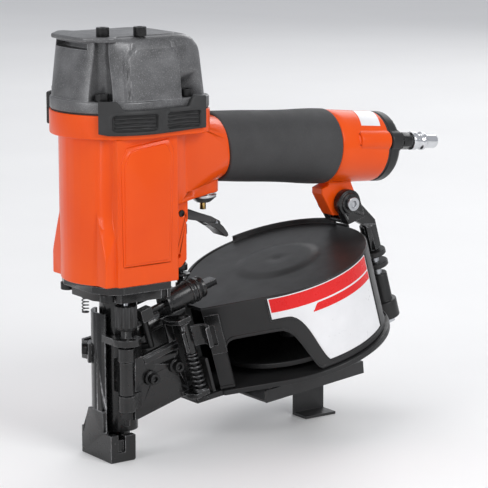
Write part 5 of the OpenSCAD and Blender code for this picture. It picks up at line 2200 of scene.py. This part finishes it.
@dataclass
class Studio:
    """Pale floor, soft light and the camera."""

    target: tuple[float, float, float] = (0.0929, 0.0, 0.1196)
    distance: float = 1.4
    azimuth: float = -35.25
    elevation: float = 11.06
    lens: float = 165.7
    sensor: float = 36.0
    clip: Pair = (0.05, 50.0)
    floor_side: float = 14.0
    room_colour: Colour = (0.93, 0.95, 1.0)
    room_strength: float = 0.56
    boxes: tuple[SoftBox, ...] = (
        SoftBox("key light", (0.45, -2.4, 1.7), 1.3, 38.0),
        SoftBox("top light", (-0.2, 0.6, 2.4), 1.8, 14.0),
        SoftBox("left rim light", (-2.1, -0.4, 0.9), 1.0, 15.0),
        SoftBox("rear light", (1.8, 1.2, 1.2), 1.2, 9.0),
    )

    def build(self) -> None:
        """Builds the studio."""
        self.floor()
        self.lights()
        self.camera()

    def floor(self) -> None:
        """Lays the floor."""
        half = self.floor_side / 2
        mesh = bpy.data.meshes.new("studio_floor")
        corners = [(-half, -half, 0), (half, -half, 0), (half, half, 0), (-half, half, 0)]
        mesh.from_pydata(corners, [], [(0, 1, 2, 3)])
        mesh.materials.append(STUDIO_FLOOR.make())
        made = bpy.data.objects.new("studio_floor", mesh)
        bpy.context.scene.collection.objects.link(made)

    def lights(self) -> None:
        """Hangs the soft lights and fills the room with pale light."""
        for box in self.boxes:
            data = bpy.data.lights.new(box.name, "AREA")
            data.energy = box.watts
            data.size = box.side
            data.color = box.colour
            light = bpy.data.objects.new(box.name, data)
            light.location = box.place
            gaze = Vector(self.target) - Vector(box.place)
            light.rotation_euler = gaze.to_track_quat("-Z", "Y").to_euler()
            bpy.context.scene.collection.objects.link(light)
        world = bpy.data.worlds.new("studio room")
        world.use_nodes = True
        room = world.node_tree.nodes["Background"]
        room.inputs["Color"].default_value = (*self.room_colour, 1.0)
        room.inputs["Strength"].default_value = self.room_strength
        bpy.context.scene.world = world
        bpy.context.scene.view_settings.view_transform = "Standard"

    def camera(self) -> None:
        """Sets the camera."""
        a, e = math.radians(self.azimuth), math.radians(self.elevation)
        back = Vector((math.sin(a) * math.cos(e), -math.cos(a) * math.cos(e), math.sin(e)))
        data = bpy.data.cameras.new("studio camera")
        data.lens = self.lens
        data.sensor_width = self.sensor
        data.clip_start, data.clip_end = self.clip
        camera = bpy.data.objects.new("studio camera", data)
        camera.location = Vector(self.target) + back * self.distance
        camera.rotation_euler = (-back).to_track_quat("-Z", "Y").to_euler()
        bpy.context.scene.collection.objects.link(camera)
        bpy.context.scene.camera = camera


def main() -> None:
    """Builds the tool and the studio."""
    logging.basicConfig(level=logging.INFO, format="%(name)s: %(message)s")
    shop = Workshop()
    for group in (Housing(), Handle(), TriggerGroup(), Nose(), Magazine()):
        group.build(shop)
    shop.dress_rest()
    Studio().build()


if __name__ == "__main__":
    main()
